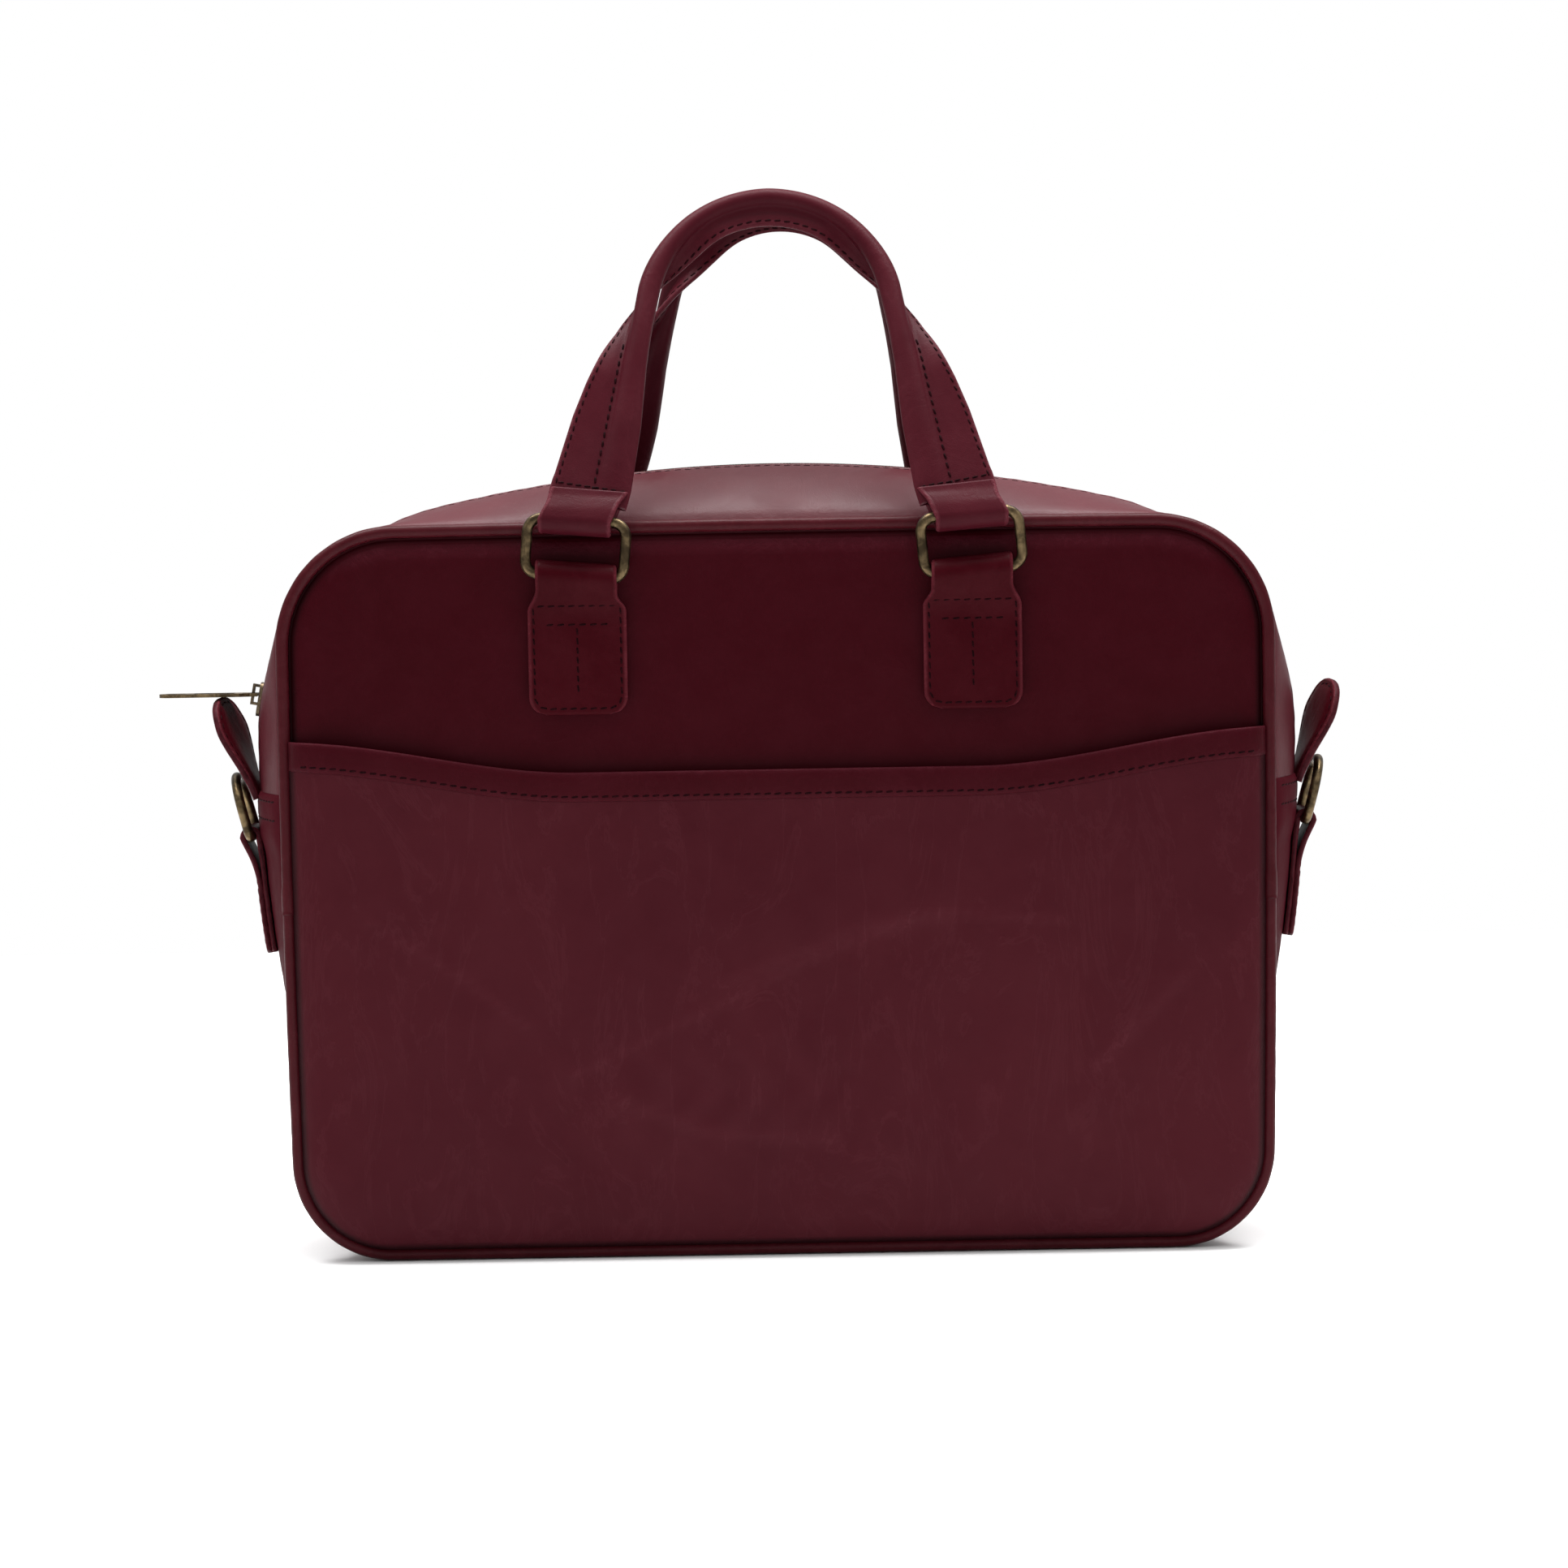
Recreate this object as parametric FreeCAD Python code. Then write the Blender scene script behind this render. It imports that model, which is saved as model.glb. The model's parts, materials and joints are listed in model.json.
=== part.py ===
"""Leather top-handle document bag with a wrap-round zip, two rolled handles on rectangular rings,
a front slip pocket, piped panels and side D-rings.

Millimetres. Origin: centre of the resting face. +X to the right seen from the front, +Y to the back,
+Z up. The front panel faces -Y and the zip slider is at -X.
"""
import FreeCAD, Part
import math
import os

from FreeCAD import Vector

# ---- body: section at the panel seam and at mid depth -------------------------------------------------
HALF_DEPTH = 40.0          # gusset from panel seam to mid depth
SEAM = dict(half_width=188.0, top=278.5, arch=20000.0, corner=45.5, side=9000.0, foot=38.0)
MIDDLE = dict(half_width=198.5, top=299.0, arch=560.0, corner=92.0, side=560.0, foot=38.0)
LEATHER = 2.0
SKIN_GAP = 0.1             # between layers that are sewn or glued together
LINING = 0.5
BOARD_HALF_WIDTH = 134.0
BOARD_HALF_DEPTH = 37.0
BOARD_THICK = 2.0

# ---- seams and zip ------------------------------------------------------------------------------------
BASE_TRIM = 0.05           # cut off the lower gusset's underside, so the base is exactly flat
GUSSET_JOIN = 177.0        # height where the lower gusset's folded ends meet the zip gusset
PIPING_RADIUS = 2.4
PIPING_CORE_RADIUS = 1.3
PIPING_JOIN = 136.8        # height of the overlap joint of the piping
PIPING_Y = -(HALF_DEPTH + 0.2 + PIPING_RADIUS)
ZIP_OPENING = 6.5          # half width between the leather edges over the zip
TAPE_HALF = 14.0
TAPE_THICK = 0.6
CHAIN_HALF = 3.2
CHAIN_GAP = 0.6            # half gap between the two rows of teeth
CHAIN_THICK = 2.0
STOP_LOW = 199.5           # left end stop, just under the slider
STOP_LENGTH = 3.0

# ---- panels, front to back ----------------------------------------------------------------------------
PANEL_FRONT = -45.0        # outer face of the front panel
PANEL_INSET = 5.4          # from the seam line of the gusset to the panel's edge
FOAM = 2.0
POCKET_GAP = 4.6
POCKET_FACE = PANEL_FRONT - POCKET_GAP - LEATHER
HEM_HEIGHT = 10.0
HEM_THICK = 1.4
MOUTH_LOW = 183.6          # pocket mouth at the centre
MOUTH_RISE = 13.0          # higher at the sides
MOUTH_FLAT = 75.0          # half width of the flat middle of the mouth
MOUTH_END = 185.0

# ---- handle hardware ----------------------------------------------------------------------------------
RING_X = 74.0
RING_WIRE = 2.0
RING_HALF_WIDTH = 18.5     # wire centre line
RING_HEIGHT = 21.3         # wire centre line
RING_CORNER = 5.5
RING_TILT = 5.0            # inner side lower, degrees
LOOP_HOLE = 3.4
LOOP_OUTER = LOOP_HOLE + LEATHER
LOOP_HALF = 14.0
LOWER_BAR = Vector(0, PANEL_FRONT - 0.2 - LOOP_OUTER, 257.5)
UPPER_BAR = LOWER_BAR + Vector(0, 0, RING_HEIGHT)
CHAPE_BOTTOM = 206.0
CHAPE_HALF = 18.5
CHAPE_SHOULDER = (245.0, 251.5)
CHAPE_CORNER = 6.0

# ---- handles ------------------------------------------------------------------------------------------
HANDLE_LEAN = 20.35
HANDLE_APEX = 126.8        # roll centre line above the upper ring bar, along the handle
HANDLE_ARC = 47.0
HANDLE_SPLAY = 15.7        # legs from the handle's axis, degrees
ROLL_RADIUS = 5.5
ROLL_CORE = 3.0
LEG_THICK = 7.0
LEG_FOOT = 9.0             # start of the leg above the ring bar
LEG_FOOT_HALF = 15.0

# ---- side fittings ------------------------------------------------------------------------------------
D_WIRE = 1.85
D_HALF = 14.35
D_LEG = 9.0
D_CORNER = 3.0
D_LEAN = 15.0
D_BAR = Vector(201.65, 0, 159.3)
D_LOOP_HOLE = 2.15
D_CHAPE_HALF = 11.0
D_CHAPE_BOTTOM = 114.6
TAB_LEAN = 23.0
TAB_LENGTH = 36.0
TAB_HALF = 15.0
TAB_THICK = 3.2
TAB_BASE = Vector(200.3, 0, 177.8)
TAB_FOOT = (177.2, 180.8)

# ---- slider and pull ----------------------------------------------------------------------------------
SLIDER_ANGLE = 10.5        # about the corner's centre, from level
PULL_ANGLE = 11.437
SLIDER_LENGTH = 13.0
SLIDER_HALF = 5.0
SLIDER_PLATE = 1.2
SLIDER_OUTER = 0.3         # outer plate's inner face beyond the leather's radius
SLIDER_INNER = -3.4        # inner plate's outer face
SLIDER_CORNER = 2.5
WEDGE_LENGTH = 4.0
BRIDGE_LIFT = 3.0
BRIDGE_BAR = 1.0
BRIDGE_HALF = 1.6
BRIDGE_LENGTH = 8.0
PULL_HINGE_OUT = 2.5       # pull's end bar beyond the leather's radius
PULL_LENGTH = 37.5
PULL_THICK = 1.3
PULL_HALF = 5.0
PULL_SHOULDER = 6.5        # where the pull narrows towards its hinge
PULL_NECK = 2.5
PULL_NECK_HALF = 3.6
PULL_END = 0.4             # beyond the hinge line
WINDOW_HALF = 2.1
WINDOW_LENGTH = 5.6
END_BAR_RADIUS = 0.6
EYE_RADIUS = 1.8
EYE_AT = (4.4, 8.4)        # from the tip
RECESS_FROM, RECESS_TO = 8.6, 24.0
RECESS_HALF = 3.4
RECESS_DEPTH = 0.25

BIG = 1000.0


def box(x0, x1, y0, y1, z0, z1):
    return Part.makeBox(x1 - x0, y1 - y0, z1 - z0, Vector(x0, y0, z0))


def slab(z0, z1, y0=-BIG, y1=BIG):
    return box(-BIG, BIG, y0, y1, z0, z1)


def mirrored_x(shape):
    return shape.mirror(Vector(0, 0, 0), Vector(1, 0, 0))


def mirrored_y(shape):
    return shape.mirror(Vector(0, 0, 0), Vector(0, 1, 0))


def turned(shape, centre, axis, degrees):
    copy = shape.copy()
    copy.rotate(centre, axis, degrees)
    return copy


def arc(centre_x, centre_z, radius, start, end, y):
    """An arc in the plane y, angles in radians from +X towards +Z."""
    points = [Vector(centre_x + radius * math.cos(a), y, centre_z + radius * math.sin(a))
              for a in (start, (start + end) / 2, end)]
    return Part.Arc(*points).toShape()


def corner_centre(section):
    run = section["half_width"] - section["corner"]
    reach = section["arch"] - section["corner"]
    return run, section["top"] - section["arch"] + math.sqrt(reach ** 2 - run ** 2)


def outline(section, inset, y):
    """Tangent arcs: flat base, foot corners, bowed sides, top corners and an arched top."""
    corner_x, corner_z = corner_centre(section)
    arch, corner, side, foot = (section[k] - inset for k in ("arch", "corner", "side", "foot"))
    arch_z = section["top"] - section["arch"]
    side_x = section["half_width"] - section["side"]
    foot_z = section["foot"]
    foot_x = side_x + math.sqrt((section["side"] - section["foot"]) ** 2 - (corner_z - foot_z) ** 2)
    low = math.atan2(foot_z - corner_z, foot_x - side_x)
    high = math.atan2(corner_z - arch_z, corner_x)
    edges = [
        Part.LineSegment(Vector(-foot_x, y, inset), Vector(foot_x, y, inset)).toShape(),
        arc(foot_x, foot_z, foot, -math.pi / 2, low, y),
        arc(side_x, corner_z, side, low, 0, y),
        arc(corner_x, corner_z, corner, 0, high, y),
        arc(0, arch_z, arch, high, math.pi - high, y),
        arc(-corner_x, corner_z, corner, math.pi - high, math.pi, y),
        arc(-side_x, corner_z, side, math.pi, math.pi - low, y),
        arc(-foot_x, foot_z, foot, math.pi - low, 1.5 * math.pi, y),
    ]
    return Part.Wire(edges)


def plate(section, inset, y0, y1):
    return Part.Face(outline(section, inset, y0)).extrude(Vector(0, y1 - y0, 0))


def bulged(inset):
    """The bag's body, fuller at mid depth than at the two panel seams."""
    wires = [outline(SEAM, inset, -HALF_DEPTH), outline(MIDDLE, inset, 0), outline(SEAM, inset, HALF_DEPTH)]
    return Part.makeLoft(wires, True, False)


def shell(inset, thickness):
    return bulged(inset).cut(bulged(inset + thickness))


def middle_ring(inset, thickness, y0, y1):
    return plate(MIDDLE, inset, y0, y1).cut(plate(MIDDLE, inset + thickness, y0, y1))


def pipe(wire, radius):
    first = wire.OrderedEdges[0]
    start = first.valueAt(first.FirstParameter)
    along = first.tangentAt(first.FirstParameter)
    circle = Part.Wire(Part.makeCircle(radius, start, along))
    return wire.makePipeShell([circle], True, False)


# ---- gussets, zip and linings -------------------------------------------------------------------------
def gussets():
    leather = shell(0, LEATHER)
    low_leather = shell(-BASE_TRIM, LEATHER + BASE_TRIM)
    upper = leather.common(slab(GUSSET_JOIN + SKIN_GAP, BIG))
    front = upper.common(slab(0, BIG, -BIG, -ZIP_OPENING))
    return {
        "lower_gusset": low_leather.common(slab(0, GUSSET_JOIN)),
        "top_gusset_front": front,
        "top_gusset_back": mirrored_y(front),
    }


def zipper():
    tape_shell = shell(LEATHER + SKIN_GAP, TAPE_THICK)
    tape = tape_shell.common(slab(GUSSET_JOIN + 2, BIG, -TAPE_HALF, -CHAIN_GAP))
    chain_low = GUSSET_JOIN + 4
    chain = middle_ring(SKIN_GAP / 2, CHAIN_THICK, -CHAIN_HALF, -CHAIN_GAP).common(slab(chain_low, BIG))
    stop = middle_ring(-SKIN_GAP, CHAIN_THICK + 0.1, -CHAIN_GAP + 0.02, CHAIN_GAP - 0.02)
    left_stop = stop.common(box(-BIG, 0, -BIG, BIG, STOP_LOW, STOP_LOW + STOP_LENGTH))
    right_stop = stop.common(box(0, BIG, -BIG, BIG, chain_low, chain_low + STOP_LENGTH))
    return {
        "zipper_tape_front": tape,
        "zipper_tape_back": mirrored_y(tape),
        "zipper_chain_front": chain,
        "zipper_chain_back": mirrored_y(chain),
        "zipper_end_stops": Part.makeCompound([left_stop, right_stop]),
    }


def linings():
    inset = LEATHER + TAPE_THICK + 4 * SKIN_GAP
    ring = shell(inset, LINING).cut(slab(GUSSET_JOIN - 2, BIG, -TAPE_HALF - 1, TAPE_HALF + 1))
    sheet = plate(SEAM, PANEL_INSET + 1, -HALF_DEPTH - LINING - SKIN_GAP, -HALF_DEPTH - SKIN_GAP)
    floor = inset + LINING + SKIN_GAP
    return {
        "lining_gusset": ring,
        "lining_front": sheet,
        "lining_back": mirrored_y(sheet),
        "base_board": box(-BOARD_HALF_WIDTH, BOARD_HALF_WIDTH, -BOARD_HALF_DEPTH, BOARD_HALF_DEPTH,
                          floor, floor + BOARD_THICK),
    }


# ---- panels, pocket and piping ------------------------------------------------------------------------
def panels():
    leather = plate(SEAM, PANEL_INSET, PANEL_FRONT, PANEL_FRONT + LEATHER)
    foam_face = PANEL_FRONT + LEATHER + SKIN_GAP
    foam = plate(SEAM, PANEL_INSET + 1, foam_face, foam_face + FOAM)
    return {
        "front_panel": leather,
        "back_panel": mirrored_y(leather),
        "front_foam": foam,
        "back_foam": mirrored_y(foam),
    }


def mouth_height(x):
    t = min(max((abs(x) - MOUTH_FLAT) / (MOUTH_END - MOUTH_FLAT), 0), 1)
    return MOUTH_LOW + MOUTH_RISE * t * t * (3 - 2 * t)


def below_mouth(drop):
    """Everything under the pocket's curved mouth, lowered by drop."""
    stations = (0, 40, MOUTH_FLAT, 95, 115, 135, 155, 170, MOUTH_END, 200)
    xs = [-x for x in reversed(stations[1:])] + list(stations)
    curve = Part.BSplineCurve()
    curve.interpolate([Vector(x, 0, mouth_height(x) - drop) for x in xs])
    left, right = curve.StartPoint, curve.EndPoint
    low_left, low_right = Vector(left.x, 0, -5), Vector(right.x, 0, -5)
    edges = [curve.toShape()] + [Part.LineSegment(a, b).toShape() for a, b in (
        (right, low_right), (low_right, low_left), (low_left, left))]
    face = Part.Face(Part.Wire(edges))
    face.translate(Vector(0, -100, 0))
    return face.extrude(Vector(0, 100, 0))


def pocket():
    back = PANEL_FRONT - SKIN_GAP
    tray = plate(SEAM, PANEL_INSET, POCKET_FACE, back)
    hollow = plate(SEAM, PANEL_INSET + LEATHER, POCKET_FACE + LEATHER, back)
    hem = plate(SEAM, PANEL_INSET + 0.5, POCKET_FACE - SKIN_GAP / 2 - HEM_THICK, POCKET_FACE - SKIN_GAP / 2)
    return {
        "front_pocket_panel": tray.cut(hollow).common(below_mouth(0)),
        "pocket_hem": hem.common(below_mouth(0)).cut(below_mouth(HEM_HEIGHT)),
    }


def piping():
    path = outline(SEAM, PIPING_RADIUS + 0.2, PIPING_Y)
    core = pipe(path, PIPING_CORE_RADIUS)
    cover = pipe(path, PIPING_RADIUS).cut(pipe(path, PIPING_CORE_RADIUS + 0.02))
    made = {"piping_core_front": core, "piping_core_back": mirrored_y(core)}
    for name, part in (("upper", cover.common(slab(PIPING_JOIN, BIG))),
                       ("lower", cover.common(slab(-1, PIPING_JOIN - SKIN_GAP)))):
        made["piping_front_" + name] = part
        made["piping_back_" + name] = mirrored_y(part)
    return made


# ---- handle chapes, rings and handles -----------------------------------------------------------------
def chape(x):
    """A tab sewn to the panel, with a loop at its top that holds the ring's lower bar."""
    low_shoulder, high_shoulder = CHAPE_SHOULDER
    middle = (low_shoulder + high_shoulder) / 2
    z_bar = LOWER_BAR.z
    c = CHAPE_CORNER
    s = c * (1 - math.sqrt(0.5))

    def at(px, pz):
        return Vector(px, 0, pz)

    right = [
        Part.LineSegment(at(LOOP_HALF, z_bar), at(LOOP_HALF, high_shoulder)).toShape(),
        Part.LineSegment(at(CHAPE_HALF, low_shoulder), at(CHAPE_HALF, CHAPE_BOTTOM + c)).toShape(),
        Part.Arc(at(CHAPE_HALF, CHAPE_BOTTOM + c), at(CHAPE_HALF - s, CHAPE_BOTTOM + s),
                 at(CHAPE_HALF - c, CHAPE_BOTTOM)).toShape(),
    ]
    sweep = Part.BezierCurve()
    sweep.setPoles([at(LOOP_HALF, high_shoulder), at(LOOP_HALF, middle),
                    at(CHAPE_HALF, middle), at(CHAPE_HALF, low_shoulder)])
    right.append(sweep.toShape())
    left = [mirrored_x(e) for e in right]
    ends = [Part.LineSegment(at(-LOOP_HALF, z_bar), at(LOOP_HALF, z_bar)).toShape(),
            Part.LineSegment(at(-CHAPE_HALF + c, CHAPE_BOTTOM), at(CHAPE_HALF - c, CHAPE_BOTTOM)).toShape()]
    face = Part.Face(Part.Wire(Part.__sortEdges__(right + left + ends)))
    back = PANEL_FRONT - SKIN_GAP
    face.translate(Vector(x, back, 0))
    tab = face.extrude(Vector(0, -2 * LEATHER, 0))
    start = Vector(x - LOOP_HALF, LOWER_BAR.y, LOWER_BAR.z)
    roll = Part.makeCylinder(LOOP_OUTER, 2 * LOOP_HALF, start, Vector(1, 0, 0))
    hole = Part.makeCylinder(LOOP_HOLE, 2 * LOOP_HALF + 2, start - Vector(1, 0, 0), Vector(1, 0, 0))
    return tab.fuse(roll).cut(hole).removeSplitter()


def ring_wire():
    """Rounded rectangle in the XZ plane with its lower bar on the X axis."""
    w, h, c = RING_HALF_WIDTH, RING_HEIGHT, RING_CORNER

    def at(px, pz):
        return Vector(px, 0, pz)

    edges = [
        Part.LineSegment(at(-w + c, 0), at(w - c, 0)).toShape(),
        arc(w - c, c, c, -math.pi / 2, 0, 0),
        Part.LineSegment(at(w, c), at(w, h - c)).toShape(),
        arc(w - c, h - c, c, 0, math.pi / 2, 0),
        Part.LineSegment(at(w - c, h), at(-w + c, h)).toShape(),
        arc(-w + c, h - c, c, math.pi / 2, math.pi, 0),
        Part.LineSegment(at(-w, h - c), at(-w, c)).toShape(),
        arc(-w + c, c, c, math.pi, 1.5 * math.pi, 0),
    ]
    return Part.Wire(edges)


def handle_ring(side):
    """Side is +1 or -1. The ring hangs a little askew, turned about its own middle."""
    ring = pipe(ring_wire(), RING_WIRE)
    ring.rotate(Vector(0, 0, RING_HEIGHT / 2), Vector(0, 1, 0), -side * RING_TILT)
    ring.translate(LOWER_BAR + Vector(side * RING_X, 0, 0))
    return ring


def placed_handle(shape):
    """From the handle's own upright frame, origin on the upper ring bars, to its leaning place."""
    shape.rotate(Vector(0, 0, 0), Vector(1, 0, 0), -HANDLE_LEAN)
    shape.translate(UPPER_BAR)
    return shape


def handle_arc_path(spread):
    centre_z = HANDLE_APEX - HANDLE_ARC
    return Part.Wire([arc(0, centre_z, HANDLE_ARC, spread, math.pi - spread, 0)])


def handle_parts():
    splay = math.radians(HANDLE_SPLAY)
    centre_z = HANDLE_APEX - HANDLE_ARC
    shoulder_x = HANDLE_ARC * math.cos(splay)
    shoulder_z = centre_z + HANDLE_ARC * math.sin(splay)
    foot_x = shoulder_x + (shoulder_z - LEG_FOOT) * math.tan(splay)
    across_x = ROLL_RADIUS * math.cos(splay)
    across_z = ROLL_RADIUS * math.sin(splay)
    corners = [Vector(foot_x - LEG_FOOT_HALF, -LEG_THICK / 2, LEG_FOOT),
               Vector(foot_x + LEG_FOOT_HALF, -LEG_THICK / 2, LEG_FOOT),
               Vector(shoulder_x + across_x, -LEG_THICK / 2, shoulder_z + across_z),
               Vector(shoulder_x - across_x, -LEG_THICK / 2, shoulder_z - across_z)]
    leg = Part.Face(Part.makePolygon(corners + corners[:1])).extrude(Vector(0, LEG_THICK, 0))
    core = pipe(handle_arc_path(splay), ROLL_CORE)
    roll = pipe(handle_arc_path(splay), ROLL_RADIUS).cut(core)
    strap = roll.fuse([leg, mirrored_x(leg)]).removeSplitter()
    return placed_handle(strap), placed_handle(core)


def handle_loop(side):
    start = Vector(side * RING_X - LOOP_HALF, 0, 0)
    roll = Part.makeCylinder(LOOP_OUTER, 2 * LOOP_HALF, start, Vector(1, 0, 0))
    neck = box(start.x, start.x + 2 * LOOP_HALF, -LEATHER, LEATHER, 0, LEG_FOOT - SKIN_GAP)
    hole = Part.makeCylinder(LOOP_HOLE, 2 * LOOP_HALF + 2, start - Vector(1, 0, 0), Vector(1, 0, 0))
    return placed_handle(roll.fuse(neck).cut(hole).removeSplitter())


def handle_fittings():
    strap, core = handle_parts()
    made = {"front_handle_strap": strap, "front_handle_core": core,
            "back_handle_strap": mirrored_y(strap), "back_handle_core": mirrored_y(core)}
    for name, side in (("left", -1), ("right", 1)):
        tab, ring, loop = chape(side * RING_X), handle_ring(side), handle_loop(side)
        for end, place in (("front", lambda s: s), ("back", mirrored_y)):
            made[f"{end}_chape_{name}"] = place(tab)
            made[f"{end}_ring_{name}"] = place(ring)
            made[f"{end}_handle_loop_{name}"] = place(loop)
    return made


# ---- side fittings ------------------------------------------------------------------------------------
def d_ring():
    w, h = D_HALF, D_LEG
    c = D_CORNER

    def at(py, pz):
        return Vector(0, py, pz)

    def bend(cy, cz, r, start, end):
        return Part.Arc(*[at(cy + r * math.cos(a), cz + r * math.sin(a))
                          for a in (start, (start + end) / 2, end)]).toShape()

    wire = Part.Wire([
        Part.LineSegment(at(-w + c, 0), at(w - c, 0)).toShape(),
        bend(w - c, c, c, -math.pi / 2, 0),
        Part.LineSegment(at(w, c), at(w, h)).toShape(),
        bend(0, h, w, 0, math.pi),
        Part.LineSegment(at(-w, h), at(-w, c)).toShape(),
        bend(-w + c, c, c, math.pi, 1.5 * math.pi),
    ])
    ring = pipe(wire, D_WIRE)
    ring.rotate(Vector(0, 0, 0), Vector(0, 1, 0), D_LEAN)
    ring.translate(D_BAR)
    return ring


def d_chape():
    layers = middle_ring(-SKIN_GAP - 2 * LEATHER, 2 * LEATHER, -D_CHAPE_HALF, D_CHAPE_HALF)
    tab = layers.common(box(0, BIG, -BIG, BIG, D_CHAPE_BOTTOM, D_BAR.z))
    start = D_BAR - Vector(0, D_CHAPE_HALF, 0)
    roll = Part.makeCylinder(D_LOOP_HOLE + LEATHER, 2 * D_CHAPE_HALF, start, Vector(0, 1, 0))
    hole = Part.makeCylinder(D_LOOP_HOLE, 2 * D_CHAPE_HALF + 2, start - Vector(0, 1, 0), Vector(0, 1, 0))
    return tab.fuse(roll).cut(hole).removeSplitter()


def zip_tab():
    """A stitched leather tab over the zip's end: a foot sewn to the gusset and a round leaning tongue."""
    straight = TAB_LENGTH - TAB_HALF
    left = Part.LineSegment(Vector(0, -TAB_HALF, 0), Vector(0, -TAB_HALF, straight)).toShape()
    right = Part.LineSegment(Vector(0, TAB_HALF, straight), Vector(0, TAB_HALF, 0)).toShape()
    end = Part.Arc(Vector(0, -TAB_HALF, straight), Vector(0, 0, TAB_LENGTH),
                   Vector(0, TAB_HALF, straight)).toShape()
    base = Part.LineSegment(Vector(0, TAB_HALF, 0), Vector(0, -TAB_HALF, 0)).toShape()
    tongue = Part.Face(Part.Wire([left, end, right, base])).extrude(Vector(TAB_THICK, 0, 0))
    tongue.translate(Vector(-TAB_THICK / 2, 0, 0))
    tongue.rotate(Vector(0, 0, 0), Vector(0, 1, 0), TAB_LEAN)
    tongue.translate(TAB_BASE)
    low, high = TAB_FOOT
    foot = middle_ring(-SKIN_GAP / 2 - TAB_THICK, TAB_THICK, -TAB_HALF, TAB_HALF).common(
        box(0, BIG, -BIG, BIG, low, high))
    return tongue.fuse(foot).removeSplitter()


def side_fittings():
    made = {}
    for name, shape in (("d_ring", d_ring()), ("d_ring_chape", d_chape()), ("zip_tab", zip_tab())):
        made[name + "_right"] = shape
        made[name + "_left"] = mirrored_x(shape)
    return made


# ---- slider and pull ----------------------------------------------------------------------------------
def on_corner(shape, degrees):
    """Turn about the left top corner's centre, up along the zip."""
    x, z = corner_centre(MIDDLE)
    return turned(shape, Vector(-x, 0, z), Vector(0, 1, 0), degrees)


def zip_slider():
    """Two plates joined by a wedge between the rows of teeth, with a bridge for the pull."""
    _, level = corner_centre(MIDDLE)
    face = -MIDDLE["half_width"]
    low, high = level - SLIDER_LENGTH / 2, level + SLIDER_LENGTH / 2
    out_face = face - SLIDER_OUTER
    outer = box(out_face - SLIDER_PLATE, out_face, -SLIDER_HALF, SLIDER_HALF, low, high)
    inner = box(face - SLIDER_INNER, face - SLIDER_INNER + SLIDER_PLATE, -SLIDER_HALF, SLIDER_HALF, low, high)
    wedge_high = high - SLIDER_PLATE / 2
    wedge = box(out_face - SKIN_GAP, face - SLIDER_INNER + SKIN_GAP, -CHAIN_GAP / 2, CHAIN_GAP / 2,
                wedge_high - WEDGE_LENGTH, wedge_high)
    corners = [e for e in outer.Edges if abs(e.tangentAt(e.FirstParameter).x) > 0.9]
    outer = outer.makeFillet(SLIDER_CORNER, corners)
    back = out_face - SLIDER_PLATE
    hinge = level + (PULL_ANGLE - SLIDER_ANGLE) * math.pi / 180 * MIDDLE["corner"]
    half = BRIDGE_LENGTH / 2
    bridge = box(back - BRIDGE_LIFT, back + SKIN_GAP, -BRIDGE_HALF, BRIDGE_HALF, hinge - half, hinge + half)
    half -= BRIDGE_BAR
    bridge = bridge.cut(box(back - BRIDGE_LIFT + BRIDGE_BAR, back, -BRIDGE_LENGTH, BRIDGE_LENGTH,
                            hinge - half, hinge + half))
    solid = outer.fuse([inner, wedge, bridge]).removeSplitter()
    return on_corner(solid, SLIDER_ANGLE)


def pull_hinge():
    x, z = corner_centre(MIDDLE)
    radius = MIDDLE["corner"] + PULL_HINGE_OUT
    angle = math.radians(PULL_ANGLE)
    return Vector(-x - radius * math.cos(angle), 0, z + radius * math.sin(angle))


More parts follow.
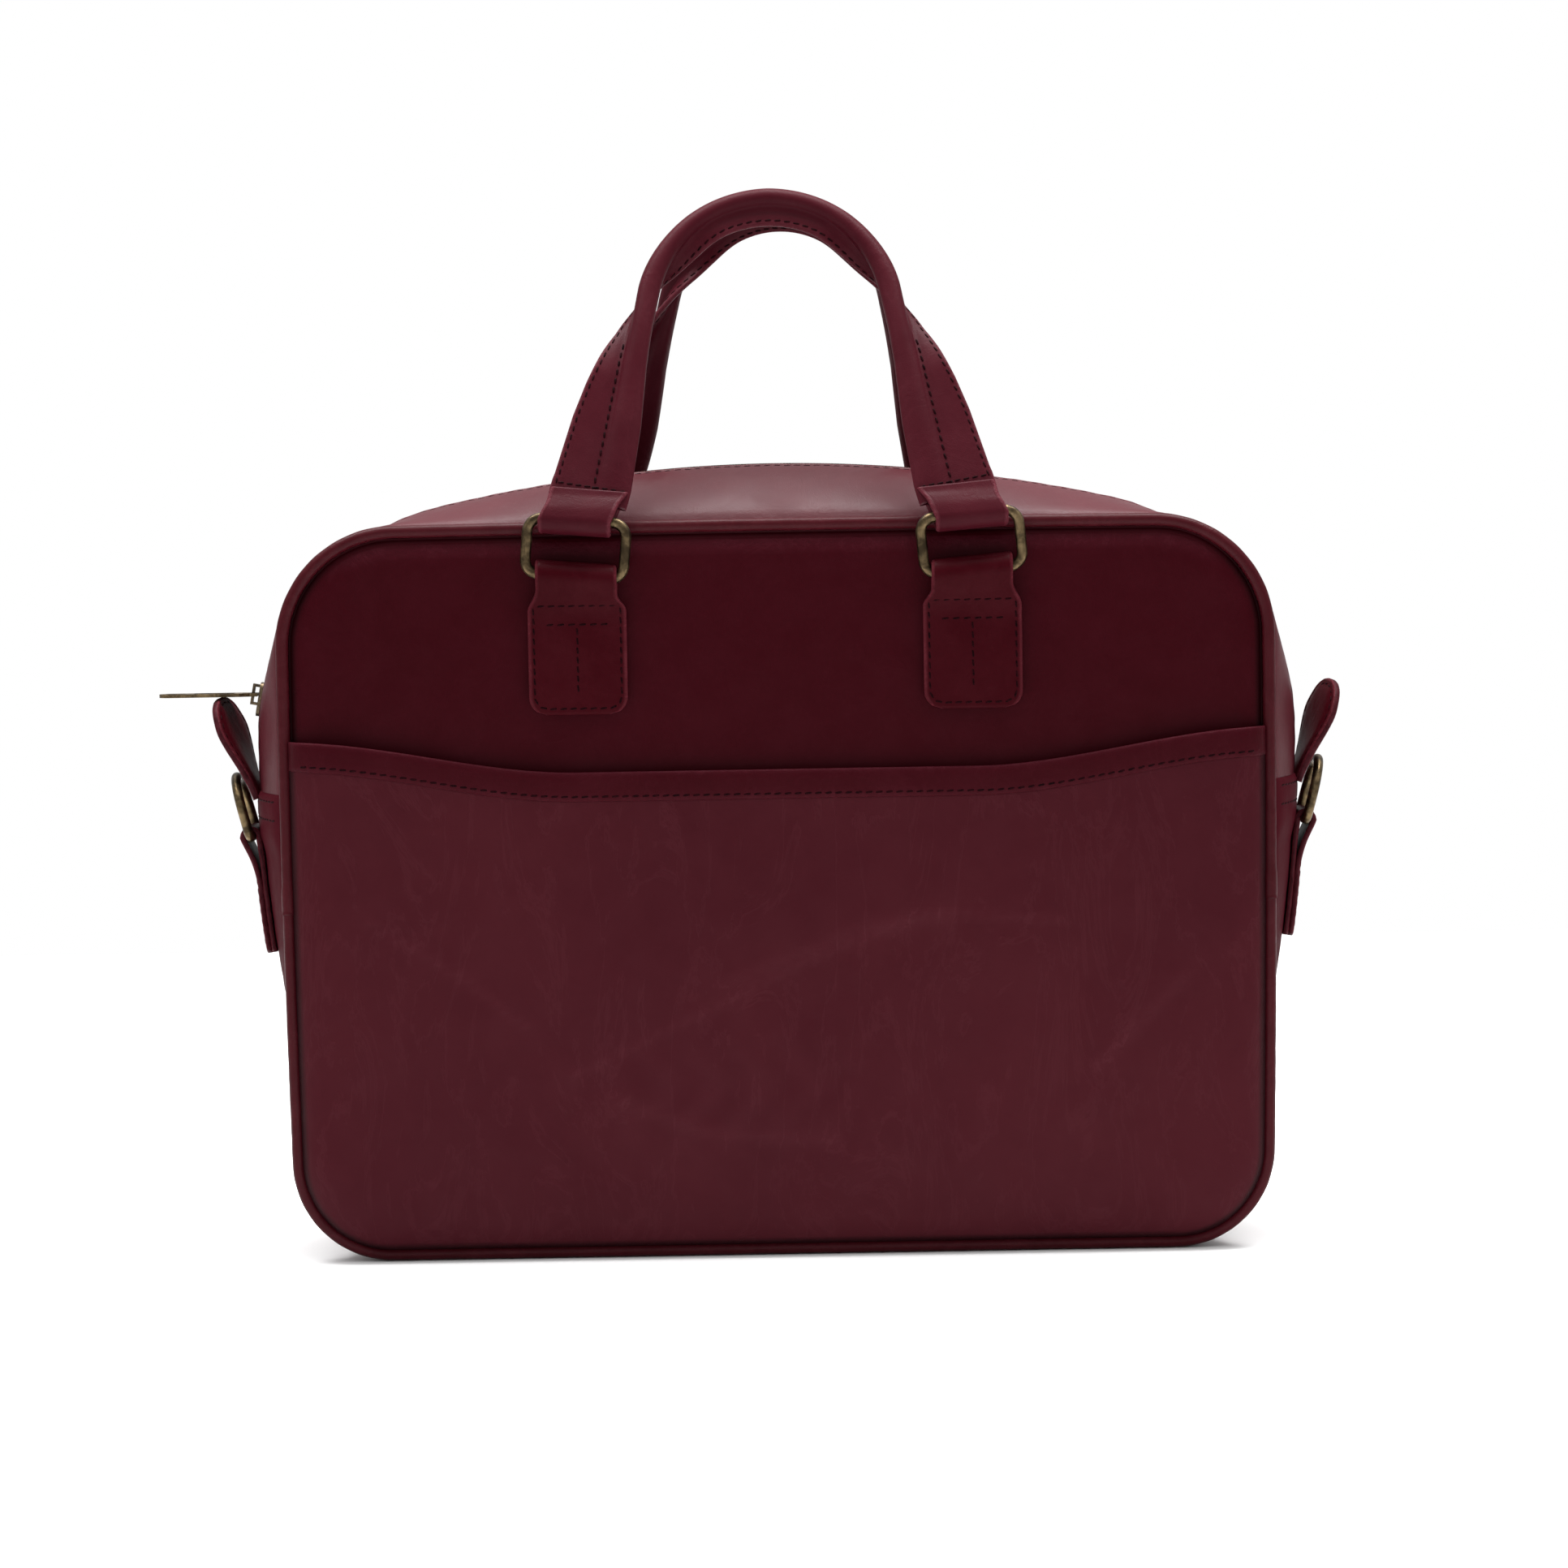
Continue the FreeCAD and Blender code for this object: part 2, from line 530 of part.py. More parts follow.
def zip_pull():
    """A flat bar lying level, with a window round the slider's bridge and an oval eye at its tip."""
    half = PULL_THICK / 2
    body = box(-PULL_LENGTH + PULL_HALF, -PULL_SHOULDER, -PULL_HALF, PULL_HALF, -half, half)
    tip = Part.makeCylinder(PULL_HALF, PULL_THICK, Vector(-PULL_LENGTH + PULL_HALF, 0, -half), Vector(0, 0, 1))
    side = [Vector(-PULL_SHOULDER, PULL_HALF, -half), Vector(-PULL_NECK, PULL_NECK_HALF, -half),
            Vector(PULL_END, PULL_NECK_HALF, -half)]
    other = [Vector(v.x, -v.y, v.z) for v in reversed(side)]
    neck = Part.Face(Part.makePolygon(side + other + side[:1])).extrude(Vector(0, 0, PULL_THICK))
    window = box(-WINDOW_LENGTH, PULL_END + 1, -WINDOW_HALF, WINDOW_HALF, -PULL_THICK, PULL_THICK)
    end_bar = Part.makeCylinder(END_BAR_RADIUS, 2 * WINDOW_HALF + 0.4, Vector(0, -WINDOW_HALF - 0.2, 0),
                                Vector(0, 1, 0))
    eye_x = [-PULL_LENGTH + d for d in EYE_AT]
    eye_ends = [Part.makeCylinder(EYE_RADIUS, 3 * PULL_THICK, Vector(x, 0, -PULL_THICK), Vector(0, 0, 1))
                for x in eye_x]
    eye = box(*eye_x, -EYE_RADIUS, EYE_RADIUS, -PULL_THICK, 2 * PULL_THICK).fuse(eye_ends)
    recess = box(-RECESS_TO, -RECESS_FROM, -RECESS_HALF, RECESS_HALF, half - RECESS_DEPTH, PULL_THICK)
    solid = body.fuse([tip, neck]).cut(window).cut(eye).cut(recess).fuse(end_bar).removeSplitter()
    solid.translate(pull_hinge())
    return solid


def all_parts():
    made = {}
    for group in (gussets, zipper, linings, panels, pocket, piping, handle_fittings, side_fittings):
        made.update(group())
    made["zip_slider"] = zip_slider()
    made["zip_pull"] = zip_pull()
    return made


os.makedirs("parts", exist_ok=True)
for node, part in all_parts().items():
    part.exportStep(f"parts/{node}.step")
    print(f"{node}: {len(part.Solids)} solid(s), {part.Volume / 1000:.2f} cm3, valid {part.isValid()}")
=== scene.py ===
import json
import math

import bpy
import numpy as np
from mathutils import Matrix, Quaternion, Vector


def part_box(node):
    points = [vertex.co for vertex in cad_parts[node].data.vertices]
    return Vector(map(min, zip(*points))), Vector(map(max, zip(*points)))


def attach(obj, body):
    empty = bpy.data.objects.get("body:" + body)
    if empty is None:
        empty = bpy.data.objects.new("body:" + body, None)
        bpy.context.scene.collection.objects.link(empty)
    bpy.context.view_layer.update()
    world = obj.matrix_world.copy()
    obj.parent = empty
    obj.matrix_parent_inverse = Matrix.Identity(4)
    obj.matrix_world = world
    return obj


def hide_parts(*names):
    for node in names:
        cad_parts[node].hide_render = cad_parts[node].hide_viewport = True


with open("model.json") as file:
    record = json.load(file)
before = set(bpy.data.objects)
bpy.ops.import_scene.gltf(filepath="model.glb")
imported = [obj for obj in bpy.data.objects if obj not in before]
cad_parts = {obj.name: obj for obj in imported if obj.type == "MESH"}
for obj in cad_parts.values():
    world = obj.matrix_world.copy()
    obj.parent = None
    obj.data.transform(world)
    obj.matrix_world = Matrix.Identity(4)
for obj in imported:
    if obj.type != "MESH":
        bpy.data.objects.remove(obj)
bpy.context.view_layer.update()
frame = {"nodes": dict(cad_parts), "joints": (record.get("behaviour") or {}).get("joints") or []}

# Shapes are in millimetres here, and turned into metres when a mesh is made. Materials, lights and the camera
# are in metres. X runs to the right, Y away from the photograph's camera, Z up.
JOINT = {j["name"]: np.array(j["pos_m"]) * 1000 for j in frame["joints"]}


def box_mm(node):
    low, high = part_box(node)
    return np.array(low) * 1000, np.array(high) * 1000


# ---- places read from the frame ----
CHAIN_HIGH = box_mm("zipper_chain_front")[1]
PIPE_LOW, PIPE_HIGH = box_mm("piping_front_upper")
PIPE_RADIUS = (PIPE_HIGH[1] - PIPE_LOW[1]) / 2
PIPE_Y = (PIPE_HIGH[1] + PIPE_LOW[1]) / 2
PIPE_JOIN = PIPE_LOW[2]
HALF_DEPTH, JOIN_Z = box_mm("lower_gusset")[1][1:]
ZIP_EDGE = box_mm("top_gusset_front")[1][1]
PANEL_FACE = box_mm("front_panel")[0][1]
POCKET_LOW, POCKET_HIGH = box_mm("front_pocket_panel")
POCKET_FACE = POCKET_LOW[1]
CHAPE_LOW, CHAPE_HIGH = box_mm("front_chape_right")
CHAPE_FOOT = CHAPE_LOW[2]
CHAPE_HALF = (CHAPE_HIGH[0] - CHAPE_LOW[0]) / 2
LOOP_LOW, LOOP_HIGH = box_mm("front_handle_loop_right")
RING_X = sum(corner[0] for corner in box_mm("front_ring_right")) / 2
LOWER_BAR = JOINT["front_ring_hinge"]
UPPER_BAR = JOINT["front_handle_hinge"]
D_BAR = JOINT["d_ring_right_hinge"]
CORNER_X, CORNER_Z = abs(JOINT["zip_travel"][0]), JOINT["zip_travel"][2]

# ---- sizes measured from the photograph ----
# The bag's outline at the piped seams and at the zip: bowed runs joined by round corners.
SEAM = dict(half_width=PIPE_HIGH[0] + 0.2, top=PIPE_HIGH[2] + 0.2, arch=20000.0, corner=45.5,
            side=9000.0, foot=38.0)
MIDDLE = dict(half_width=CHAIN_HIGH[0] + 0.05, top=CHAIN_HIGH[2] + 0.05, arch=560.0, side=560.0, foot=38.0)
MIDDLE["corner"] = MIDDLE["half_width"] - CORNER_X
RING_TILT = math.radians(5.0)
# The handle: a half circle of radius ARC under its apex, then straight legs splayed outwards to REACH.
HANDLE_LEAN = math.radians(20.35)
HANDLE_SPLAY = math.radians(15.7)
HANDLE_ARC = 47.0
HANDLE_APEX = 126.8
HANDLE_REACH = 149.5
REAR_SWAY = 9.0
CORD_REACH = 96.0
LOOP_SLANT, LOOP_LEAN = 0.10, 0.45
LOOP_HALF = (LOOP_HIGH[0] - LOOP_LOW[0]) / 2 - 0.4
TAB_LEAN = math.radians(21.0)
TAB_TWIST = math.radians(14.0)
TAB_BASE = (200.3, 177.8)
STITCH_PITCH = 3.8
HANDLE_PITCH = 3.6
MOUTH = (183.6, POCKET_HIGH[2])
HEM_END = 183.6
GUSSET_THICK = 1.9
GUSSET_RIPPLE = 0.10
FLAP_HALF = 1.25
EDGE_SOFT = 0.55


# ---- small maths ----
def smooth(x, low, high):
    """0 at low, 1 at high, and an even curve between them."""
    t = np.clip((np.asarray(x, float) - low) / (high - low), 0, 1)
    return t * t * (3 - 2 * t)


def unit(v):
    return v / np.maximum(np.linalg.norm(v, axis=-1, keepdims=True), 1e-9)


def left_of(v):
    """Flat vectors turned a quarter to the left."""
    return np.stack([-v[:, 1], v[:, 0]], axis=1)


def wobble(x, y, seed):
    """A smooth field between about -1 and 1, the same on every run."""
    a = np.sin(x + 1.7 * np.sin(y * 0.7 + seed) + seed)
    b = np.sin(y * 1.3 + 1.3 * np.sin(x * 0.9 - seed) + 2.1 * seed)
    return 0.5 * (a + b)


def run_along(points):
    """Distance of each point from the first, along the line."""
    return np.concatenate([[0], np.cumsum(np.linalg.norm(np.diff(points, axis=0), axis=1))])


def at_run(at, run, points):
    """The line's points at the given distances along it."""
    return np.stack([np.interp(at, run, column) for column in points.T], axis=1)


def resample(points, count):
    """Evenly spaced points along a line."""
    points = np.asarray(points, float)
    run = run_along(points)
    return at_run(np.linspace(0, run[-1], count), run, points)


def xyz(x, y, z):
    """Points from their coordinates, which are spread to one shape."""
    return np.stack(np.broadcast_arrays(x, y, z), axis=-1)


def at_depth(flat, y):
    """(x, z) points set at depth y."""
    return xyz(flat[..., 0], y, flat[..., 1])


def arc(centre, radius, start, end, count):
    """Flat points round a centre, from one angle to another in degrees."""
    a = np.radians(np.linspace(start, end, count))
    return np.stack([centre[0] + radius * np.cos(a), centre[1] + radius * np.sin(a)], axis=1)


def curve_through(points, count):
    """A smooth curve through a few points (uniform Catmull-Rom), evenly resampled."""
    p = np.concatenate([[2 * points[0] - points[1]], points, [2 * points[-1] - points[-2]]])
    t = np.linspace(0, 1, 16, endpoint=False)[:, None]
    out = []
    for a, b, c, d in zip(p, p[1:], p[2:], p[3:]):
        out.append(0.5 * ((2 * b) + (c - a) * t + (2 * a - 5 * b + 4 * c - d) * t ** 2
                          + (3 * b - a - 3 * c + d) * t ** 3))
    return resample(np.concatenate(out + [p[-2:-1]]), count)


def blended(low, high, weight):
    """A section between the seam's and the middle's: lengths blend, and large radii by curvature."""
    out = {key: (1 - weight) * low[key] + weight * high[key] for key in low}
    for key in ("arch", "side"):
        out[key] = 1.0 / ((1 - weight) / low[key] + weight / high[key])
    return out


def outline(section, inset, density=1.0):
    """Right-handed loop of (x, z) points from the middle of the base, tangent arcs all round."""
    run = section["half_width"] - section["corner"]
    arch_z = section["top"] - section["arch"]
    corner_z = arch_z + math.sqrt((section["arch"] - section["corner"]) ** 2 - run ** 2)
    side_x = section["half_width"] - section["side"]
    foot_z = section["foot"]
    foot_x = side_x + math.sqrt((section["side"] - foot_z) ** 2 - (corner_z - foot_z) ** 2)
    low = math.degrees(math.atan2(foot_z - corner_z, foot_x - side_x))
    high = math.degrees(math.atan2(corner_z - arch_z, run))

    def points(count):
        return max(3, int(count * density))

    base = np.linspace((0, inset), (foot_x, inset), points(30))
    bows = [((foot_x, foot_z), "foot", -90, low, 22), ((side_x, corner_z), "side", low, 0, 50),
            ((run, corner_z), "corner", 0, high, 32), ((0, arch_z), "arch", high, 90, 36)]
    right = np.concatenate([base] + [arc(centre, section[name] - inset, start, end, points(count))[1:]
                                     for centre, name, start, end, count in bows])
    return np.concatenate([right, right[::-1][1:-1] * [-1, 1]])


def distance_to(x, z, loop):
    """Distance of the points (x, z) from a closed loop."""
    points = np.stack([x.ravel(), z.ravel()], axis=1)
    ab = np.roll(loop, -1, axis=0) - loop
    size = np.maximum((ab ** 2).sum(1), 1e-12)
    best = np.empty(len(points))
    batch = 4000
    for start in range(0, len(points), batch):
        p = points[start:start + batch, None, :]
        t = np.clip(((p - loop) * ab).sum(2) / size, 0, 1)
        gap = p - (loop + t[..., None] * ab)
        best[start:start + batch] = np.sqrt((gap ** 2).sum(2).min(1))
    return best.reshape(x.shape)


# ---- meshes ----
class Build:
    """Collects vertices, faces, material indices and a wear-and-light value for one mesh. Above 0 the leather
    is painted lighter, as rubbed wear and, along the panels' tops, as a painted highlight; below 0 it is
    painted shade, as in the grooves by the seams."""

    def __init__(self):
        self.verts, self.faces, self.mats, self.wear, self.count = [], [], [], [], 0

    def add(self, verts, faces, mat=0, wear=0.0):
        """mat is one index or one for each face, and wear one value or one for each vertex."""
        verts = np.asarray(verts, float).reshape(-1, 3)
        self.verts.append(verts)
        self.faces.extend([tuple(int(i) + self.count for i in f) for f in faces])
        self.mats.extend(np.full(len(faces), mat).tolist())
        self.wear.append(np.full(len(verts), np.ravel(wear), float))
        self.count += len(verts)

    def mirrored(self, axis):
        """The same shape on the other side of the bag."""
        other = Build()
        flip = np.ones(3)
        flip[axis] = -1
        other.verts = [v * flip for v in self.verts]
        other.faces = [f[::-1] for f in self.faces]
        other.mats, other.wear, other.count = self.mats, self.wear, self.count
        return other

    def object(self, name, materials, body, slot, node, smooth_faces=True):
        """The piece that stands for a CAD node and rides its body."""
        mesh = bpy.data.meshes.new(name)
        verts = np.concatenate(self.verts) / 1000
        mesh.from_pydata(verts.tolist(), [], self.faces)
        for material in materials:
            mesh.materials.append(material)
        mesh.polygons.foreach_set("material_index", self.mats)
        mesh.polygons.foreach_set("use_smooth", [smooth_faces] * len(mesh.polygons))
        field = mesh.attributes.new("wear", "FLOAT", "POINT")
        field.data.foreach_set("value", np.concatenate(self.wear).astype(np.float32))
        mesh.validate()
        mesh.update()
        obj = bpy.data.objects.new(name, mesh)
        bpy.context.scene.collection.objects.link(obj)
        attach(obj, body)
        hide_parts(node)
        return obj

    def pair(self, axis, name, materials, body, slot, node, change=None):
        """This piece and its mirror image. {} in the names stands for the side; change alters the image."""
        words = ("right", "left") if axis == 0 else ("front", "back")
        image = self.mirrored(axis)
        if change:
            change(image)
        for word, one in zip(words, (self, image)):
            one.object(name.format(word), materials, body.format(word), slot, node.format(word))


def grid_faces(n, m, wrap=False, flip=False):
    """Faces of n rows of m points. wrap joins each row's end to its start."""
    faces = []
    for i in range(n - 1):
        for j in range(m if wrap else m - 1):
            k = (j + 1) % m
            a, b, c, d = i * m + j, (i + 1) * m + j, (i + 1) * m + k, i * m + k
            faces.append((a, d, c, b) if flip else (a, b, c, d))
    return faces


def capped_faces(n, m, flip=False):
    """Faces of n rings of m points, with both ends closed."""
    caps = [tuple(range(m - 1, -1, -1)), tuple(range((n - 1) * m, n * m))]
    return grid_faces(n, m, True, flip) + [c[::-1] if flip else c for c in caps]


def repeated(faces, size, count):
    """The faces of count equal pieces of size vertices."""
    return [tuple(i + k * size for i in f) for k in range(count) for f in faces]


def closed_sheet(build, top, bottom, wear=0.0, edge_mat=0):
    """Two n by m grids joined round their rims into one closed body. Top's normals point out."""
    n, m = top.shape[:2]
    size = n * m
    faces = grid_faces(n, m) + [tuple(i + size for i in f) for f in grid_faces(n, m, flip=True)]
    rim = ([i * m for i in range(n)] + [(n - 1) * m + j for j in range(1, m)]
           + [i * m + m - 1 for i in range(n - 2, -1, -1)] + list(range(m - 2, 0, -1)))
    edge = [(b, a, a + size, b + size) for a, b in zip(rim, rim[1:] + rim[:1])]
    build.add(np.concatenate([top.reshape(-1, 3), bottom.reshape(-1, 3)]), faces + edge,
              [0] * len(faces) + [edge_mat] * len(edge), np.tile(np.broadcast_to(wear, (n, m)).ravel(), 2))


def tube(build, path, radius, sides, up=(0, 1, 0), wear=0.0):
    """A round tube along a path."""
    along = unit(np.gradient(path, axis=0))
    side = unit(np.cross(along, up))
    over = np.cross(side, along)
    a = np.linspace(0, 2 * math.pi, sides, endpoint=False)[:, None]
    ring = np.cos(a) * side[:, None, :] + np.sin(a) * over[:, None, :]
    build.add(path[:, None, :] + radius[:, None, None] * ring, capped_faces(len(path), sides, True), 0, wear)


def stitch_row(build, points, normals, mat=1, pitch=STITCH_PITCH, sink=0.08):
    """Thread stitches lying along a line on a surface, each a little slanted and dipping at its ends."""
    length, width, height, slant, sides = 0.74 * pitch, 0.42, 0.34, 0.12, 6
    half = np.array(((0.4, 1.0, 0.0), (0.82, 0.75, 0.0), (1.0, 0.15, -0.25)))
    stations, swell, dip = np.concatenate([half[::-1] * [-1, 1, 1], half]).T
    normals = np.broadcast_to(np.asarray(normals, float), points.shape)
    run = run_along(points)
    count = max(1, int(round(run[-1] / pitch)))
    at = (np.arange(count) + 0.5) * run[-1] / count
    centre = at_run(at, run, points)
    along = unit(at_run(at + 0.3, run, points) - at_run(at - 0.3, run, points))
    up = unit(at_run(at, run, normals))
    along = unit(along + slant * unit(np.cross(up, along)))
    across = unit(np.cross(up, along))
    a = np.linspace(0, 2 * math.pi, sides, endpoint=False)
    ahead = np.repeat(stations * length / 2, sides)[:, None]
    aside = np.outer(swell, np.cos(a)).reshape(-1, 1) * width
    above = np.outer(swell, np.sin(a)).reshape(-1, 1) * height - sink + np.repeat(dip, sides)[:, None]
    verts = centre[:, None] + ahead * along[:, None] + aside * across[:, None] + above * up[:, None]
    build.add(verts, repeated(capped_faces(len(stations), sides), len(ahead), count), mat)


# ---- materials ----
class Nodes:
    """A short way to write shader nodes."""

    def __init__(self, name):
        self.material = bpy.data.materials.new(name)
        self.material.use_nodes = True
        self.tree = self.material.node_tree
        self.shader = self.tree.nodes["Principled BSDF"]

    def new(self, kind, **values):
        node = self.tree.nodes.new(kind)
        for key, value in values.items():
            setattr(node, key, value)
        return node

    def put(self, socket, value):
        """A number or a colour stands on the socket itself, and a node's output is joined to it."""
        if isinstance(value, (int, float)):
            socket.default_value = value
        elif isinstance(value, tuple):
            socket.default_value = (*value, 1)
        else:
            self.tree.links.new(value, socket)

    def fill(self, node, **sockets):
        """Puts values on a node's sockets, named with _ for each space."""
        for key, value in sockets.items():
            self.put(node.inputs[key.replace("_", " ")], value)

    def finish(self, **sockets):
        self.fill(self.shader, **sockets)
        return self.material

    def place(self, stretch=(1, 1, 1)):
        mapping = self.new("ShaderNodeMapping")
        mapping.inputs["Scale"].default_value = stretch
        self.fill(mapping, Vector=self.new("ShaderNodeTexCoord").outputs["Object"])
        return mapping.outputs["Vector"]

    def noise(self, scale, detail, rough, distort=0.0, **place):
        node = self.new("ShaderNodeTexNoise")
        self.fill(node, Scale=scale, Detail=detail, Roughness=rough, Distortion=distort,
                  Vector=self.place(**place))
        return node.outputs["Fac"]

    def cells(self, scale):
        node = self.new("ShaderNodeTexVoronoi", feature="DISTANCE_TO_EDGE")
        self.fill(node, Scale=scale, Vector=self.place())
        return node.outputs["Distance"]

    def ramp(self, value, low, high, out_low=0.0, out_high=1.0):
        node = self.new("ShaderNodeMapRange", interpolation_type="SMOOTHSTEP")
        self.fill(node, From_Min=low, From_Max=high, To_Min=out_low, To_Max=out_high, Value=value)
        return node.outputs["Result"]

    def math(self, kind, a, b=0):
        node = self.new("ShaderNodeMath", operation=kind)
        self.put(node.inputs[0], a)
        self.put(node.inputs[1], b)
        return node.outputs[0]

    def mix(self, factor, a, b):
        """Mixes colours a and b; they are inputs 6 and 7 of the node, and output 2."""
        node = self.new("ShaderNodeMix", data_type="RGBA")
        self.put(node.inputs["Factor"], factor)
        self.put(node.inputs[6], a)
        self.put(node.inputs[7], b)
        return node.outputs[2]

    def bump(self, height, strength, distance, below=None):
        node = self.new("ShaderNodeBump")
        self.fill(node, Strength=strength, Distance=distance, Height=height)
        if below is not None:
            self.fill(node, Normal=below)
        return node.outputs["Normal"]


def leather(name, dark, mid, light, rough=0.42, crease=0.0, streak=(1, 1, 1), shine=0.04):
    """Smooth dyed leather: tonal clouds, fine pores and hair lines, soft creases, lighter worn edges and
    painted highlights where the wear-and-light value is above 0, and painted shade where it is below 0.
    """
    n = Nodes(name)
    colour = n.mix(n.ramp(n.noise(9.0, 5, 0.6, 0.4), 0.3, 0.7), dark, mid)
    mottle = n.ramp(n.noise(70.0, 4, 0.6), 0.3, 0.72)
    colour = n.mix(n.math("MULTIPLY", mottle, 0.06), colour, light)
    lines = n.noise(34.0, 7, 0.66, 1.2, stretch=streak)
    hair = n.ramp(n.math("ABSOLUTE", n.math("SUBTRACT", lines, 0.5)), 0.0, 0.03, 1.0, 0.0)
    wear = n.new("ShaderNodeAttribute", attribute_name="wear").outputs["Fac"]
    strength = n.math("MULTIPLY", hair, n.math("ADD", 0.02 + crease * 0.09, n.math("MULTIPLY", wear, 0.4)))
    colour = n.mix(strength, colour, light)
    # Rubbed wear and painted highlight: the colour is lightened where the wear-and-light value is above 0.
    colour = n.mix(n.math("MULTIPLY", wear, 0.55), colour, light)
    # Painted shade: where the value is below 0 the colour is darkened towards near black, as in a shaded
    # groove.
    colour = n.mix(n.math("MULTIPLY", wear, -0.85), colour, tuple(0.15 * c for c in dark))
    gloss = n.ramp(n.noise(45.0, 5, 0.65), 0.25, 0.75, rough - 0.05, rough + 0.08)
    normal = n.bump(n.ramp(n.cells(1150.0), 0.0, 0.28), 0.10, 0.00012)
    normal = n.bump(n.noise(2600.0, 3, 0.6), 0.10, 0.0001, normal)
    normal = n.bump(hair, 0.10 + 0.15 * crease, 0.00035, normal)
    wrinkles = n.math("MULTIPLY", n.math("MAXIMUM", wear, 0.0), n.noise(380.0, 5, 0.62, 0.8))
    normal = n.bump(wrinkles, 0.5, 0.0022, normal)
    normal = n.bump(n.noise(24.0, 4, 0.6, 0.5), 0.22, 0.0022, normal)
    return n.finish(Base_Color=colour, Roughness=gloss, Specular_IOR_Level=shine, Normal=normal)


def metal(name, dark, bright, rough=0.36):
    """Antique brass: bright where it is rubbed, dark where it isn't."""
    n = Nodes(name)
    patch = n.ramp(n.noise(160.0, 6, 0.65, 0.6), 0.36, 0.68)
    speck = n.ramp(n.noise(900.0, 4, 0.6), 0.4, 0.7)
    colour = n.mix(n.math("MULTIPLY", speck, 0.25), n.mix(patch, dark, bright), dark)
    gloss = n.ramp(n.noise(240.0, 5, 0.7), 0.3, 0.7, rough - 0.08, rough + 0.12)
    return n.finish(Base_Color=colour, Roughness=gloss, Metallic=1.0,
                    Normal=n.bump(n.noise(700.0, 4, 0.6), 0.08, 0.0002))


def thread(name, dark, light):
    """Waxed thread with its twist."""
    n = Nodes(name)
    colour = n.mix(n.ramp(n.noise(1500.0, 3, 0.6), 0.35, 0.65), dark, light)
    return n.finish(Base_Color=colour, Roughness=0.6, Specular_IOR_Level=0.03,
                    Normal=n.bump(n.noise(4200.0, 2, 0.5), 0.4, 0.0001))


def woven(name, dark, light, pitch=1400.0):
    """Plain woven tape or lining."""
    n = Nodes(name)
    bands = []
    for axis in ("X", "Z"):
        wave = n.new("ShaderNodeTexWave", bands_direction=axis)
        n.fill(wave, Scale=pitch / 20, Distortion=0.6, Vector=n.place())
        bands.append(wave.outputs["Fac"])
    weave = n.math("MULTIPLY", bands[0], bands[1])
    return n.finish(Base_Color=n.mix(weave, dark, light), Roughness=0.85, Specular_IOR_Level=0.1,
                    Normal=n.bump(weave, 0.5, 0.0003))


def painted(name, dark, light):
    """The painted raw edge of the leather, and the fibre board."""
    n = Nodes(name)
    colour = n.mix(n.ramp(n.noise(300.0, 4, 0.6), 0.3, 0.7), dark, light)
    return n.finish(Base_Color=colour, Roughness=0.5, Specular_IOR_Level=0.05,
                    Normal=n.bump(n.noise(900.0, 3, 0.6), 0.2, 0.0003))


BODY = leather("body leather", (0.025, 0.0004, 0.0022), (0.028, 0.0006, 0.0028), (0.070, 0.010, 0.017))
POCKET = leather("pocket leather", (0.037, 0.0034, 0.0066), (0.044, 0.0048, 0.0082), (0.085, 0.018, 0.025),
                 rough=0.46, crease=1.0, streak=(1, 1, 0.35), shine=0.05)
# The top gusset's and the lower gusset's leathers are lighter copies of the body leather: painted light, for
# the top under the overhead lamps and for the sides.
GUSSET_PAINTED_LIGHTER = leather("gusset leather", (0.048, 0.0042, 0.0078), (0.058, 0.0060, 0.0105), (0.130, 0.028, 0.036),
                 rough=0.44, streak=(1.6, 1, 0.5), shine=0.17)
SIDE_PAINTED_LIGHTER = leather("side leather", (0.037, 0.0032, 0.0062), (0.044, 0.0046, 0.0080), (0.110, 0.022, 0.030),
               rough=0.55, shine=0.01)
HANDLE = leather("handle leather", (0.034, 0.0024, 0.0056), (0.042, 0.0036, 0.0074), (0.125, 0.024, 0.034),
                 shine=0.055)
TAB = leather("tab leather", (0.025, 0.0005, 0.0022), (0.029, 0.0008, 0.0027), (0.115, 0.020, 0.028),
              rough=0.38, shine=0.03)
PIPING = leather("piping leather", (0.027, 0.0008, 0.0026), (0.034, 0.0014, 0.0036), (0.120, 0.020, 0.028),
                 rough=0.36, shine=0.08)
EDGE = painted("edge paint", (0.024, 0.002, 0.004), (0.050, 0.008, 0.012))
THREAD = thread("thread", (0.003, 0.0002, 0.0006), (0.016, 0.0012, 0.0026))
BRASS = metal("antique brass", (0.040, 0.028, 0.016), (0.190, 0.135, 0.070))
ZIP_METAL = metal("zip brass", (0.045, 0.034, 0.024), (0.190, 0.140, 0.085), rough=0.4)
TAPE = woven("zip tape", (0.016, 0.0012, 0.0026), (0.050, 0.005, 0.009))
LINING = woven("lining cotton", (0.070, 0.058, 0.046), (0.120, 0.102, 0.084))
FOAM = woven("foam", (0.42, 0.40, 0.36), (0.58, 0.56, 0.51), pitch=500.0)
BOARD = painted("fibre board", (0.24, 0.17, 0.10), (0.38, 0.28, 0.18))
CORE = woven("cotton cord", (0.42, 0.40, 0.35), (0.62, 0.59, 0.52))


# ---- panels and pocket ----
def spread(width, fine=1.0, coarse=6.0):
    """Positions from -1 to 1 across a width, with steps that grow from fine at both ends to coarse."""
    growth = 1.16
    steps, total, step = [], 0.0, fine
    while total + step < width:
        steps.append(step)
        total += step
        step = min(coarse, step * growth)
    half = np.concatenate([[0], np.cumsum(steps)])
    half = width - half * width / half[-1]
    return np.concatenate([-half, half[::-1][1:]]) / width


